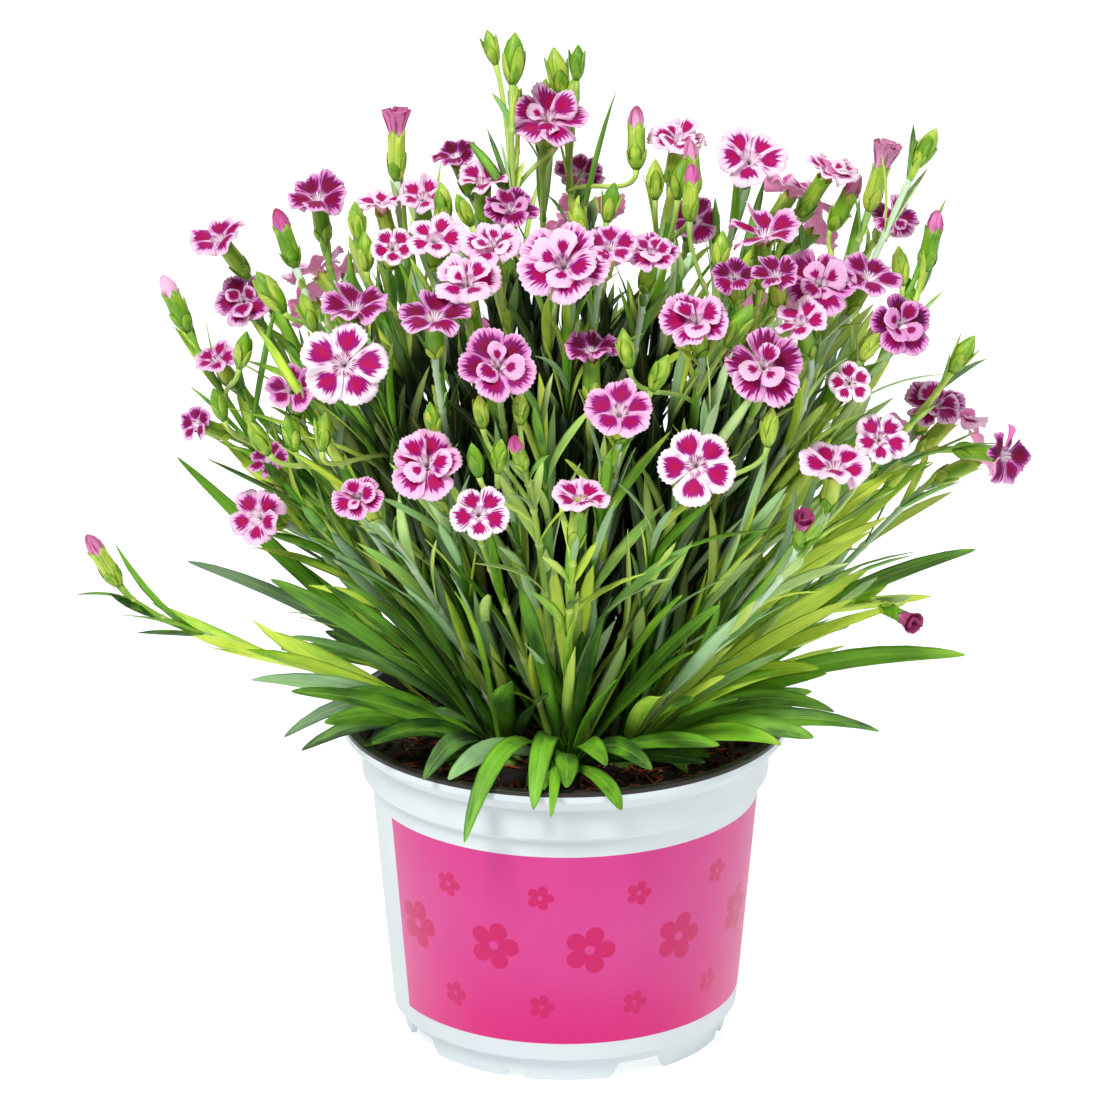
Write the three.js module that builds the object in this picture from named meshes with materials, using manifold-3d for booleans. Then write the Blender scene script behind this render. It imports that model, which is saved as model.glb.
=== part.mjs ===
// A pot-grown dianthus in flower, in millimetres, +Z up, front towards -Y.
// The origin is on the ground under the middle of the pot.
import * as THREE from 'three';
import { mergeVertices } from 'three/addons/utils/BufferGeometryUtils.js';
import Module from 'manifold-3d';

const wasm = await Module();
wasm.setup();

// --- driving dimensions -------------------------------------------------------

const POT = {
  height: 89, lipRadius: 60, lipHeight: 3, wall: 1.2, floor: 1.2, sides: 32,
  footRadius: 43.5, footHeight: 7, ledgeRadius: 46.7, collarZ: 73.8, collarRadius: 54.8,
  bodyTopRadius: 52.4, gap: 12, notch: 4, gapTurn: -63, gapRise: 4,
};
const SOIL = { top: 80, radius: 50, footRadius: 44, roughness: 1.4, sides: 14, seed: 5 };
const NECK = { radius: 5.2, below: 10, above: 3, sides: 6, slots: 4.1 };
const CLEARANCE = 0.35;
const STEM = { radius: 0.95, slim: 0.75, shoot: 0.6, sides: 4, shootSides: 3, steps: 3 };
const LEAF = { thickness: 1, roll: 0.95 };
const ROOT_SHARE = 0.08;
const FUSE_TOLERANCE = 0.12;

// Heads are planned on a drawing sheet that faces an eye raised a little over the plant:
// x is measured to the right of the pot's axis, s up the sheet from the foot of the pot.
const EYE = {
  rise: THREE.MathUtils.degToRad(19.7), distance: 1800, height: 132.2, aside: -1.4, sheetFoot: 138.8,
};
// The heads stand on the upper half of an egg-shaped dome.
const DOME = { middle: 90, across: 112, deep: 100, high: 165 };

// --- small helpers --------------------------------------------------------------

const vec = (x, y, z) => new THREE.Vector3(x, y, z);
const along = (start, direction, distance) => start.clone().addScaledVector(direction, distance);
const mix = (a, b, share) => a + (b - a) * share;

// A repeatable stream of numbers from 0 to 1 (mulberry32).
function seeded(seed) {
  let state = seed >>> 0;
  return () => {
    state = (state + 0x6d2b79f5) >>> 0;
    let mixed = Math.imul(state ^ (state >>> 15), state | 1);
    mixed ^= mixed + Math.imul(mixed ^ (mixed >>> 7), mixed | 61);
    return ((mixed ^ (mixed >>> 14)) >>> 0) / 4294967296;
  };
}

function solidFromFaces(points, faces) {
  return new wasm.Manifold(new wasm.Mesh({
    numProp: 3,
    vertProperties: new Float32Array(points.flatMap((point) => [point.x, point.y, point.z])),
    triVerts: new Uint32Array(faces),
  }));
}

// A closed three.js geometry as a solid, without the slivers it has on its axis.
function solidFromGeometry(geometry) {
  const bare = new THREE.BufferGeometry();
  bare.setAttribute('position', geometry.getAttribute('position'));
  bare.setIndex(geometry.index);
  const merged = mergeVertices(bare, 1e-4);
  const index = merged.index.array;
  const faces = [];
  for (let i = 0; i < index.length; i += 3) {
    const [a, b, c] = index.slice(i, i + 3);
    if (a !== b && b !== c && c !== a) faces.push(a, b, c);
  }
  return new wasm.Manifold(new wasm.Mesh({
    numProp: 3,
    vertProperties: merged.attributes.position.array,
    triVerts: new Uint32Array(faces),
  }));
}

// A skin over rings of points that turn left round the way of travel, ended by a cap or a tip.
function loft(rings, tip) {
  const sides = rings[0].length;
  const points = rings.flat();
  const faces = [];
  for (let k = 0; k + 1 < rings.length; k++) {
    for (let i = 0; i < sides; i++) {
      const a = k * sides + i;
      const b = k * sides + (i + 1) % sides;
      faces.push(a, b, b + sides, a, b + sides, a + sides);
    }
  }
  const last = points.length - sides;
  for (let i = 1; i + 1 < sides; i++) {
    faces.push(0, i + 1, i);
    if (!tip) faces.push(last, last + i, last + i + 1);
  }
  if (tip) {
    points.push(tip);
    for (let i = 0; i < sides; i++) faces.push(last + i, last + (i + 1) % sides, points.length - 1);
  }
  return solidFromFaces(points, faces);
}

// A piece that grows out of another: the whole of it, and what stands free of its root.
// The second ring marks where it comes free, and isn't a step of the piece itself.
function grown([root, clearOfRoot, ...rest], tip) {
  return { full: loft([root, ...rest], tip), free: loft([clearOfRoot, ...rest], tip) };
}

function meshFrom(name, solid, material) {
  const { vertProperties, triVerts } = solid.getMesh();
  const geometry = new THREE.BufferGeometry();
  geometry.setAttribute('position', new THREE.BufferAttribute(new Float32Array(vertProperties), 3));
  geometry.setIndex(new THREE.BufferAttribute(new Uint32Array(triVerts), 1));
  geometry.computeVertexNormals();
  const mesh = new THREE.Mesh(geometry, material);
  mesh.name = name;
  return mesh;
}

// --- pot and soil -----------------------------------------------------------------

// Thin-walled nursery pot: foot ring, ledge, tapered body, stepped collar and flared lip.
function makePot() {
  const { height, lipRadius, lipHeight, wall, floor, footRadius, footHeight, ledgeRadius } = POT;
  const { collarZ, collarRadius, bodyTopRadius } = POT;
  const profile = [
    [0, footHeight], [footRadius - 1.3 * wall, footHeight], [footRadius - 1.3 * wall, 0], [footRadius, 0],
    [footRadius + 0.7, footHeight - 0.4], [ledgeRadius, footHeight],
    [bodyTopRadius, collarZ - 1.6], [collarRadius, collarZ],
    [collarRadius + 0.4, height - 7], [lipRadius, height - lipHeight], [lipRadius, height],
    [lipRadius - 2.4, height], [collarRadius - wall, height - 7.5], [collarRadius - wall, collarZ + 1],
    [bodyTopRadius - wall, collarZ - 1], [ledgeRadius - wall, footHeight + floor], [0, footHeight + floor],
  ].map(([r, z]) => new THREE.Vector2(r, z));
  const lathe = new THREE.LatheGeometry(profile, POT.sides).rotateX(Math.PI / 2);
  let pot = solidFromGeometry(lathe);
  for (let quarter = 0; quarter < 4; quarter++) {
    for (const [width, rise, turn] of [[POT.gap, POT.gapRise, 0], [POT.notch, POT.gapRise / 2, 45]]) {
      const angle = THREE.MathUtils.degToRad(POT.gapTurn + turn + 90 * quarter - 90);
      const cut = new THREE.BoxGeometry(12, width, 2 * rise).rotateZ(angle);
      cut.translate(Math.cos(angle) * footRadius, Math.sin(angle) * footRadius, 0);
      pot = pot.subtract(solidFromGeometry(cut));
    }
  }
  return pot;
}

// Peat that fills the pot, with a crumbly top and a plain hole for the neck of each tuft.
function makeSoil(necks) {
  const draw = seeded(SOIL.seed);
  const rings = [];
  const floorZ = POT.footHeight + POT.floor + CLEARANCE;
  const rows = [[0.03, 0.5], [0.36, 1], [0.7, 1], [1, 0.4]];
  const ring = (radius, z, rough) => Array.from({ length: SOIL.sides }, (_, i) => {
    const angle = -2 * Math.PI * i / SOIL.sides;
    const lump = SOIL.roughness * rough * (2 * draw() - 1);
    return vec(radius * Math.cos(angle), radius * Math.sin(angle), z + lump);
  });
  for (const [share, rough] of rows) rings.push(ring(SOIL.radius * share, SOIL.top, rough));
  rings.push(ring(SOIL.footRadius - 0.6, floorZ, 0));
  return necks.reduce((soil, neck) => soil.subtract(neckPrism(neck, CLEARANCE)), loft(rings));
}

function neckPrism(neck, extra) {
  const height = NECK.below + NECK.above + extra;
  const radius = NECK.radius + extra;
  const prism = new THREE.CylinderGeometry(radius, radius, height, NECK.sides).rotateX(Math.PI / 2);
  const middleZ = SOIL.top + NECK.above - height / 2;
  prism.translate(neck.x, neck.y, middleZ);
  return solidFromGeometry(prism);
}

// --- places on the dome -----------------------------------------------------------------

const SIGHT = vec(0, Math.cos(EYE.rise), -Math.sin(EYE.rise));
const SHEET_UP = vec(0, Math.sin(EYE.rise), Math.cos(EYE.rise));
const EYE_POINT = along(vec(EYE.aside, 0, EYE.height), SIGHT, -EYE.distance);

function sightLine(x, s) {
  const onSheet = along(vec(x, 0, EYE.height), SHEET_UP, s - EYE.sheetFoot);
  return onSheet.sub(EYE_POINT).normalize();
}

// The point behind (x, s) on the sheet that lies `into` of the way through the dome.
function seat(x, s, into) {
  const scale = vec(1 / DOME.across, 1 / DOME.deep, 1 / DOME.high);
  const line = sightLine(x, s);
  const start = EYE_POINT.clone().sub(vec(0, 0, DOME.middle)).multiply(scale);
  const way = line.clone().multiply(scale);
  const a = way.dot(way);
  const b = start.dot(way);
  const inside = b * b - a * (start.dot(start) - 1);
  const half = inside > 0 ? Math.sqrt(inside) : 0;
  return along(EYE_POINT, line, (-b + (2 * into - 1) * half) / a);
}

// The point behind (x, s) on the sheet at the depth y.
function reach(x, s, y) {
  const line = sightLine(x, s);
  return along(EYE_POINT, line, (y - EYE_POINT.y) / line.y);
}

// A direction given by how far it points right and up on the sheet; the rest points at the eye.
function facing(right, up) {
  const rest = Math.sqrt(Math.max(0, 1 - right * right - up * up));
  return vec(right, 0, 0).addScaledVector(SHEET_UP, up).addScaledVector(SIGHT, -rest).normalize();
}

// --- tufts: the rooted plants in the pot ---------------------------------------------------

const TUFT_RINGS = [[0, 1, 0], [20, 7, 12]];
const SPREAD = 0.22;
const isOuter = (tuft) => Math.hypot(tuft.x, tuft.y) > 0;

const tufts = TUFT_RINGS.flatMap(([radius, count, turn]) =>
  Array.from({ length: count }, (_, i) => {
    const angle = THREE.MathUtils.degToRad(turn + 360 * i / count);
    return vec(radius * Math.cos(angle), radius * Math.sin(angle), SOIL.top);
  }));

function nearestTuft(place) {
  const distance = (tuft) => Math.hypot(tuft.x - SPREAD * place.x, tuft.y - SPREAD * place.y);
  return tufts.reduce((best, tuft, i) => (distance(tuft) < distance(tufts[best]) ? i : best), 0);
}

// --- stems with their calyx, cup or bud --------------------------------------------------------

// Along the head from the foot of the calyx: [distance, radius] in shares of the head's length.
const HEADS = {
  open: { length: 13, rings: [[0.2, 2.2], [1, 2.3]] },
  cup: { length: 19, rings: [[0.12, 2.2], [0.6, 2.4], [1, 4.1]] },
  tip: { length: 17, rings: [[0.14, 2.3], [0.72, 2.5]], point: true },
  bud: { length: 12, rings: [[0.2, 2.2], [0.55, 2.6]], point: true },
};

// Rings of points round a line of places, carried on from each to the next without twist.
function ringsAlong(places, sides) {
  let side = null;
  return places.map(({ point, way, radius }) => {
    side ??= vec(0.3, 1, 0.1).cross(way);
    side.addScaledVector(way, -side.dot(way)).normalize();
    const up = way.clone().cross(side);
    return Array.from({ length: sides }, (_, i) => {
      const angle = 2 * Math.PI * (i + 0.5) / sides;
      return along(along(point, side, radius * Math.cos(angle)), up, radius * Math.sin(angle));
    });
  });
}

function stemLine(start, base, axis, lift, pull) {
  const span = base.clone().sub(start);
  const rise = along(start, span, 0.32).add(vec(0, 0, lift));
  const bend = along(base, axis, -pull * span.length());
  return new THREE.CubicBezierCurve3(start, rise, bend, base);
}

// A point on the stem as it is built: straight from one of its steps to the next.
function onStem(line, t) {
  const step = Math.min(Math.floor(t * STEM.steps), STEM.steps - 1);
  const from = line.getPoint(step / STEM.steps);
  return from.lerp(line.getPoint((step + 1) / STEM.steps), t * STEM.steps - step);
}

function headOnStem(line, axis, kind, size, steps, thick, sides) {
  const { rings, point, length } = HEADS[kind];
  const stops = [0, ROOT_SHARE, ...Array.from({ length: steps }, (_, i) => (i + 1) / steps)];
  const places = stops.map((t) => ({
    point: line.getPoint(t), way: line.getTangent(t), radius: mix(thick, STEM.slim, t),
  }));
  const base = line.v3;
  for (const [share, radius] of rings) {
    places.push({ point: along(base, axis, share * length * size), way: axis, radius: radius * size });
  }
  return grown(ringsAlong(places, sides), point && along(base, axis, length * size));
}

// --- corollas -------------------------------------------------------------------------------------

// A petal's edge from its left notch: [share of the radius, degrees from the petal's middle, lift].
const PETAL_EDGE = {
  toothed: [[0.36, -36, 0], [0.84, -29, -0.07], [1, -12, 0], [0.9, 0, 0.02], [1, 12, 0], [0.84, 29, 0.07]],
  plain: [[0.36, -36, 0], [0.88, -24, -0.05], [1, 0, 0], [0.88, 24, 0.05]],
};
const PETAL = { middle: 0.58, thickness: 0.9, throat: 1.9, crown: 0.3, toothedFrom: 22 };

// One whorl of petals joined at the throat, as a lobed sheet, thickest in the middle of each petal.
function whorl(centre, axis, radius, { petals, edge, cup, spin, draw }) {
  const side = Math.abs(axis.z) > 0.98 ? vec(1, 0, 0) : vec(-axis.y, axis.x, 0).normalize();
  const up = axis.clone().cross(side);
  const place = (r, angle, height) => along(
    along(along(centre, side, r * Math.cos(angle)), up, r * Math.sin(angle)), axis, height);
  const tilts = Array.from({ length: petals }, () => cup + 0.3 * (draw() - 0.5));
  const points = [place(0, 0, PETAL.crown), place(0, 0, -PETAL.throat)];
  const outline = [];
  const middles = [];
  const widen = 5 / petals;
  for (let p = 0; p < petals; p++) {
    const middle = spin + 2 * Math.PI * p / petals;
    const tilt = tilts[p];
    PETAL_EDGE[edge].forEach(([share, degrees, lift], i) => {
      const slope = i ? tilt : (tilt + tilts[(p + petals - 1) % petals]) / 2;
      const r = share * radius;
      outline.push(points.length);
      points.push(place(r, middle + THREE.MathUtils.degToRad(degrees * widen), r * slope + lift * radius));
    });
    const r = PETAL.middle * radius;
    middles.push(points.length);
    points.push(place(r, middle, r * tilt + PETAL.thickness / 2));
    points.push(place(r, middle, r * tilt - PETAL.thickness / 2));
  }
  const faces = [];
  const perPetal = PETAL_EDGE[edge].length;
  for (let p = 0; p < petals; p++) {
    const top = middles[p];
    const ring = Array.from({ length: perPetal + 1 }, (_, i) => outline[(p * perPetal + i) % outline.length]);
    faces.push(0, ring[0], top, 0, top, ring[perPetal], 1, top + 1, ring[0], 1, ring[perPetal], top + 1);
    for (let i = 0; i < perPetal; i++) faces.push(top, ring[i], ring[i + 1], top + 1, ring[i + 1], ring[i]);
  }
  return solidFromFaces(points, faces);
}

function corolla(centre, axis, across, whorls, number) {
  const draw = seeded(9000 + number);
  const edge = across >= PETAL.toothedFrom ? 'toothed' : 'plain';
  const spin = 2 * Math.PI * draw();
  const cup = whorls > 1 ? 0.1 : 0.2;
  let flower = whorl(centre, axis, across / 2, { petals: 5, edge, cup, spin, draw });
  if (whorls > 1) {
    const inner = { petals: whorls + 1, edge: 'plain', cup: 0.95, spin: spin + 0.6, draw };
    flower = flower.add(whorl(along(centre, axis, 0.5), axis, across * 0.3, inner));
  }
  return flower;
}

// --- planting plan -------------------------------------------------------------------------------

// Heads on stems of their own: [kind, x, s, across, right, up, into, whorls, joined].
// `across` is the open flower's width, or a bud's size against the common one.
// A joined flower touches the one before it.
const CROWN = [
  ['open', -5, 256, 22, 0.05, 0.5, 0.45, 2],
  ['bud', -14, 265, 1.15, 0.05, 0.98, 0.5, 0],
  ['bud', -1, 263, 1.15, -0.15, 0.95, 0.6, 0],
  ['cup', -45, 240, 1, 0, 0.97, 0.4, 0],
  ['open', -29, 246, 13, -0.3, 0.7, 0.5, 1],
  ['open', -22, 239, 15, 0, 0.8, 0.4, 1],
  ['open', -14, 231, 16, 0.1, 0.6, 0.25, 2, 'joined'],
  ['open', 4, 242, 14, 0.1, 0.5, 0.6, 1],
  ['open', 30, 250, 17, 0.1, 0.75, 0.4, 3],
  ['open', 49, 245, 19, 0.1, 0.4, 0.45, 1],
  ['open', 35, 230, 14, 0.1, 0.3, 0.4, 1],
];
const LEFT = [
  ['open', -66, 235, 17, -0.1, 0.75, 0.35, 1],
  ['open', -49, 233, 13, -0.2, 0.8, 0.35, 1],
  ['open', -38, 235, 14, 0, 0.5, 0.2, 1, 'joined'],
  ['open', -92, 224, 17, -0.45, 0.6, 0.5, 1],
  ['tip', -72, 217, 1, -0.3, 0.9, 0.3, 0],
  ['open', -86, 208, 17, -0.2, 0.25, 0.3, 2],
  ['open', -93, 192, 12, -0.35, 0.5, 0.4, 1],
  ['open', -98, 175, 11, -0.6, 0.2, 0.5, 1],
  ['open', -82, 150, 16, -0.45, 0.1, 0.35, 1],
  ['open', -79, 165, 12, -0.3, 0.5, 0.4, 1],
  ['open', -73, 184, 15, -0.1, 0.45, 0.15, 1],
  ['open', -59, 191, 23, 0, 0.1, 0.02, 1],
  ['open', -56, 207, 18, 0.1, 0.75, 0.12, 1, 'joined'],
  ['tip', -101, 200, 1, -0.4, 0.88, 0.5, 0],
  ['tip', -119, 132, 1, -0.5, 0.8, 0.5, 0],
];
const MIDDLE = [
  ['open', -35, 224, 16, 0, 0.45, 0.08, 1],
  ['open', -46, 222, 12, 0.1, 0.3, 0.15, 1, 'joined'],
  ['open', -19, 222, 17, -0.1, 0.6, 0.08, 2],
  ['open', -26, 212, 19, 0, 0.5, 0.04, 2, 'joined'],
  ['open', -35, 203, 21, 0, 0.6, 0.02, 1, 'joined'],
  ['open', -18, 190, 22, 0, 0.3, 0.02, 2],
  ['open', -0.5, 217, 25, -0.05, 0.35, 0.02, 3],
  ['open', 12, 222, 15, 0.15, 0.5, 0.1, 1, 'joined'],
  ['open', 23, 220, 16, 0.1, 0.6, 0.08, 3, 'joined'],
  ['open', 35, 202, 20, -0.1, 0.5, 0.04, 2],
  ['open', 7, 194, 16, 0, 0.85, 0.12, 1],
  ['open', 14.5, 178, 19, 0, 0.45, 0.04, 1],
];
const RIGHT = [
  ['open', 53, 225, 20, 0.05, 0.85, 0.15, 1],
  ['open', 56, 214, 13, -0.1, 0.6, 0.12, 1, 'joined'],
  ['open', 44, 214, 12, -0.1, 0.4, 0.12, 1, 'joined'],
  ['open', 63, 202, 15, -0.2, 0.6, 0.06, 1],
  ['open', 68, 212, 21, 0, 0.35, 0.08, 3, 'joined'],
  ['open', 81, 214, 17, 0.35, 0.6, 0.25, 1, 'joined'],
  ['open', 90, 200, 19, 0.4, 0.1, 0.35, 3, 'joined'],
  ['open', 70, 242, 16, 0.5, 0.75, 0.45, 2],
  ['cup', 81, 232, 1, 0.25, 0.9, 0.5, 0],
  ['open', 88, 230, 14, 0.3, 0.35, 0.5, 2],
  ['bud', 93, 243, 1, 0.45, 0.85, 0.6, 0],
  ['tip', 96, 216, 1, 0.2, 0.95, 0.6, 0],
  ['bud', 103, 189, 1, 0.5, 0.8, 0.5, 0],
  ['open', 53, 190, 22, 0, 0.25, 0.02, 2],
  ['open', 76, 186, 12, 0.05, 0.1, 0.12, 1],
  ['open', 84, 171, 15, 0.15, 0.2, 0.15, 1],
  ['open', 99, 180, 17, 0.3, 0.45, 0.5, 2],
  ['open', 117, 167, 18, 0.85, -0.1, 0.5, 1],
];
const LOWER = [
  ['open', -37, 164, 20, -0.1, 0.3, 0.04, 2],
  ['open', -55, 155, 14, -0.3, 0.35, 0.06, 2],
  ['open', -23, 151, 15, 0.05, 0.15, 0.03, 1],
  ['tip', -11, 163, 0.8, -0.2, 0.6, 0.06, 0],
  ['open', 4, 154, 17, 0.1, 0.8, 0.06, 1],
  ['open', 35, 164, 21, 0, 0.05, 0.02, 1],
  ['open', 72, 163, 20, 0.1, 0.7, 0.08, 1],
  ['cup', 62, 142, 0.7, 0.1, 0.6, 0.08, 0],
  ['cup', 84, 127, 0.75, 0.6, -0.35, 0.35, 0],
];

// The back of the dome by rule: heads of three flowers, each a golden turn on from the last.
const BACK = {
  groups: 6, firstTurn: 20, lastTurn: 160, golden: 0.618, low: 150, high: 228, deep: 84, across: 17,
  ring: 9.6,
};

function headOfRow([kind, x, s, size, right, up, into, whorls, joined]) {
  return {
    kind, size, whorls, joined, axis: facing(right, up),
    placeAt: (shift) => along(seat(x, s, into), SIGHT, shift),
    slideAt: (gap, from) => reach(x, s, from.y + gap),
  };
}

function backHeads() {
  const list = [];
  for (let group = 0; group < BACK.groups; group++) {
    const share = (group * BACK.golden) % 1;
    const turn = THREE.MathUtils.degToRad(mix(BACK.firstTurn, BACK.lastTurn, share));
    const z = mix(BACK.low, BACK.high, (group + 0.5) / BACK.groups);
    const waist = Math.sqrt(1 - ((z - DOME.middle) / DOME.high) ** 2);
    const out = vec(Math.cos(turn), Math.sin(turn), 0);
    const middle = vec(out.x * DOME.across * waist, out.y * BACK.deep * waist, z);
    const aside = vec(-out.y, out.x, 0);
    for (let i = 0; i < 3; i++) {
      const angle = 2 * Math.PI * i / 3 + group;
      const offset = aside.clone().multiplyScalar(Math.cos(angle)).add(vec(0, 0, Math.sin(angle)));
      const axis = vec(out.x, out.y, 0.75).addScaledVector(offset, 0.35).normalize();
      list.push({
        kind: 'open', size: BACK.across + 2 * i - 2, whorls: 1 + (i === 1), joined: i > 0, axis,
        placeAt: (shift) => along(along(middle, offset, BACK.ring), out, shift),
        slideAt: (gap, from) =>
          along(along(middle, offset, BACK.ring), out, from.clone().sub(middle).dot(out) + gap),
      });
    }
  }
  return list;
}

const heads = [...[...CROWN, ...MIDDLE, ...LOWER, ...LEFT, ...RIGHT].map(headOfRow), ...backHeads()];

// Buds on side shoots of the stems nearby: [kind, x, s, size, right, up, into].
const SIDE_BUDS = [
  ['bud', -18.5, 271, 0.8, -0.25, 0.95, 0.5], ['bud', -13, 258, 0.75, -0.1, 0.98, 0.5],
  ['bud', -6.5, 259, 0.75, 0.15, 0.98, 0.52], ['bud', 3, 267, 0.8, 0.05, 0.98, 0.55],
  ['bud', 2, 259, 0.75, 0, 0.98, 0.55], ['bud', -32, 229, 0.9, -0.1, 0.95, 0.12],
  ['bud', -25, 228, 0.8, -0.4, 0.85, 0.12], ['bud', -53, 216, 0.9, -0.05, 0.95, 0.15],
  ['bud', -55, 224, 0.9, -0.1, 0.95, 0.25], ['bud', -75, 205, 1.1, -0.55, 0.8, 0.25],
  ['bud', -67, 200, 0.9, -0.3, 0.9, 0.15], ['bud', -87, 190, 0.9, 0.2, 0.9, 0.3],
  ['bud', 11, 229, 0.9, 0.2, 0.95, 0.2], ['bud', 4, 225, 0.8, -0.1, 0.95, 0.2],
  ['tip', 19, 243, 1, 0, 1, 0.4], ['bud', 24, 235, 0.9, 0, 0.98, 0.35],
  ['bud', 30, 235, 0.9, 0.1, 0.98, 0.35], ['tip', 34.5, 236, 0.9, -0.1, 0.95, 0.35],
  ['tip', 33, 229, 0.9, 0.05, 0.98, 0.3], ['bud', 41, 216, 0.9, 0.1, 0.98, 0.15],
  ['bud', 43, 196, 1.1, 0.5, 0.8, 0.08], ['bud', 17, 190, 0.9, -0.15, 0.95, 0.08],
  ['bud', 23, 184, 0.9, 0.4, 0.85, 0.08], ['tip', 71, 227, 1, 0.45, 0.85, 0.4],
  ['bud', 90, 212, 0.9, -0.1, 0.98, 0.5], ['bud', 91, 205, 0.8, 0.1, 0.95, 0.5],
  ['bud', 102, 183, 0.8, 0.2, 0.95, 0.5], ['bud', -22, 174, 0.8, -0.1, 0.9, 0.08],
  ['bud', -12, 175, 0.8, 0, 0.9, 0.08], ['bud', -35, 172, 0.8, -0.1, 0.9, 0.08],
  ['bud', -23, 161, 0.8, -0.2, 0.9, 0.06], ['bud', -18, 162, 0.8, 0.1, 0.9, 0.06],
  ['bud', 54, 169, 0.9, 0.1, 0.95, 0.08], ['bud', -79, 167, 0.9, -0.5, 0.8, 0.25],
  ['bud', -72, 168, 0.9, -0.2, 0.9, 0.2], ['bud', -65, 168, 0.9, 0.1, 0.95, 0.12],
  ['bud', -91, 176, 0.8, -0.3, 0.9, 0.4], ['bud', 79, 192, 0.8, 0.5, 0.8, 0.12],
];

// Leaves that show by themselves: [rootX, rootY, tip x, tip s, tip depth, arch, width].
const LONG_LEAVES = [
  [0, -24, 0, 78, -62, 14, 8], [-3, -24, -8, 72, -64, 22, 7.2], [-6, -22, -26, 63, -68, 34, 6.6],
  [-9, -22, -31, 80, -60, 20, 7], [-12, -20, -38, 80, -56, 18, 6.6], [5, -23, 12, 84, -54, 14, 7],
  [10, -23, 24, 83, -52, 14, 6.6], [16, -17, 57, 89, -42, 10, 8], [17, -15, 66, 91, -40, 12, 7],
  [20, -12, 84, 93, -34, 14, 7], [20, -8, 72, 98, -14, 18, 6], [22, -3, 68, 110, -10, 12, 6],
  [22, 0, 107, 114, 0, 16, 6.2], [22, 5, 110, 141, 10, 14, 5.4], [22, 8, 97, 165, 16, 6, 6],
  [-14, -18, -64, 95, -36, 12, 7], [-16, -17, -52, 90, -46, 12, 8.6], [-18, -14, -75, 91, -24, 26, 5],
  [-20, -12, -84, 107, -22, 12, 6.4], [-20, -10, -62, 103, -30, 10, 7], [-22, -4, -79, 134, -12, 8, 6.6],
  [-22, 2, -104, 166, 6, -4, 5.2], [-22, 0, -101, 139, 0, 14, 4.6],
];

// Upright straps that stand among the stems: the part of the sheet that their tips lie in, how
// deep, their widths, and how far the bend leans and rises towards the tip.
const STRAPS = {
  count: 22, tries: 20, left: -66, right: 94, low: 98, high: 150, near: -52, far: 4, slim: 4, wide: 5.8,
  lean: 0.34, rise: 0.62,
};

// Basal leaves of each tuft and the pairs on the stems, drawn by rule.
const BASAL = {
  outer: 8, inner: 4, tries: 24, short: 38, long: 82, slim: 5.2, wide: 8, low: 0.05, steep: 1, reach: 84,
};
const STEM_LEAVES = { at: [1 / 3, 2 / 3], lengths: [42, 26], widths: [3.6, 2.8], tries: 6, share: 0.12 };

// --- leaves ------------------------------------------------------------------------------------------

const leafShare = (t) => (
  t < 0.6 ? mix(0.3, 1, Math.sin(Math.PI * t / 1.2)) : Math.cos(Math.PI * (t - 0.6) / 0.8)
);

// A keeled blade along an arching line; `azimuth` is the way it points as seen from above. It is
// rolled so that its upper face turns towards the front, where the plant has grown to the light.
function blade(root, bend, tip, width, azimuth, stations) {
  const line = new THREE.QuadraticBezierCurve3(root, bend, tip);
  const level = vec(-Math.sin(azimuth), Math.cos(azimuth), 0);
  const rings = [0, ROOT_SHARE, ...stations].map((t) => {
    const middle = line.getPoint(t);
    const way = line.getTangent(t);
    const side = level.clone().applyAxisAngle(way, LEAF.roll * Math.cos(azimuth));
    const up = way.cross(side).normalize();
    const half = width / 2 * leafShare(t);
    const keel = LEAF.thickness * Math.min(1, 0.5 + 2 * t);
    return [along(middle, side, half), along(middle, side, -half), along(middle, up, -keel)];
  });
  return grown(rings, tip);
}

const STATIONS = { short: [0.4, 0.78], basal: [0.36, 0.72], long: [0.3, 0.6, 0.85] };

// --- growing, one piece after another, each clear of what stands already -------------------------------

const pieces = [];

function boxOf(solid) {
  const { min, max } = solid.boundingBox();
  return new THREE.Box3(vec(...min), vec(...max)).expandByScalar(CLEARANCE);
}

// Pieces of one node may meet at their roots, but not where they stand free; `host` is what
// they grow from.
function isClear({ full, free }, node, host) {
  const box = boxOf(full);
  return pieces.every((piece) => {
    if (!box.intersectsBox(piece.box)) return true;
    if (piece.node !== node) return full.minGap(piece.solid, CLEARANCE) >= CLEARANCE;
    return !free || piece === host || free.minGap(piece.solid, 1) > 0;
  });
}

function keep(node, solid) {
  pieces.push({ node, solid, box: boxOf(solid) });
  return pieces.at(-1);
}

const stems = [];

const necks = tufts.map((neck, i) => keep(`tuft_${i}`, neckPrism(neck, 0)));
keep('pot', makePot());
keep('soil', makeSoil(tufts));

const HEAD_TRIES = 90;
const OWN_TRIES = 45;
const SLIDE = { from: 15, step: 0.75, nudges: [0, 0.1, 0.2, 0.3, 0.4, 0.5] };
let before = null;

// A joined flower slides towards the one before it, from behind or from the front, until they
// touch, and is nudged nearer where it would pass by.
function touchingPlace(head, number, side) {
  for (const nudge of SLIDE.nudges) {
    for (let gap = SLIDE.from; gap > -1; gap -= SLIDE.step) {
      const place = head.slideAt(side * gap, before.place).lerp(before.place, nudge);
      const flower = corolla(place, head.axis, head.size, head.whorls, number);
      if (flower.minGap(before.flower, 1) === 0) return place;
    }
  }
  return null;
}

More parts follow.
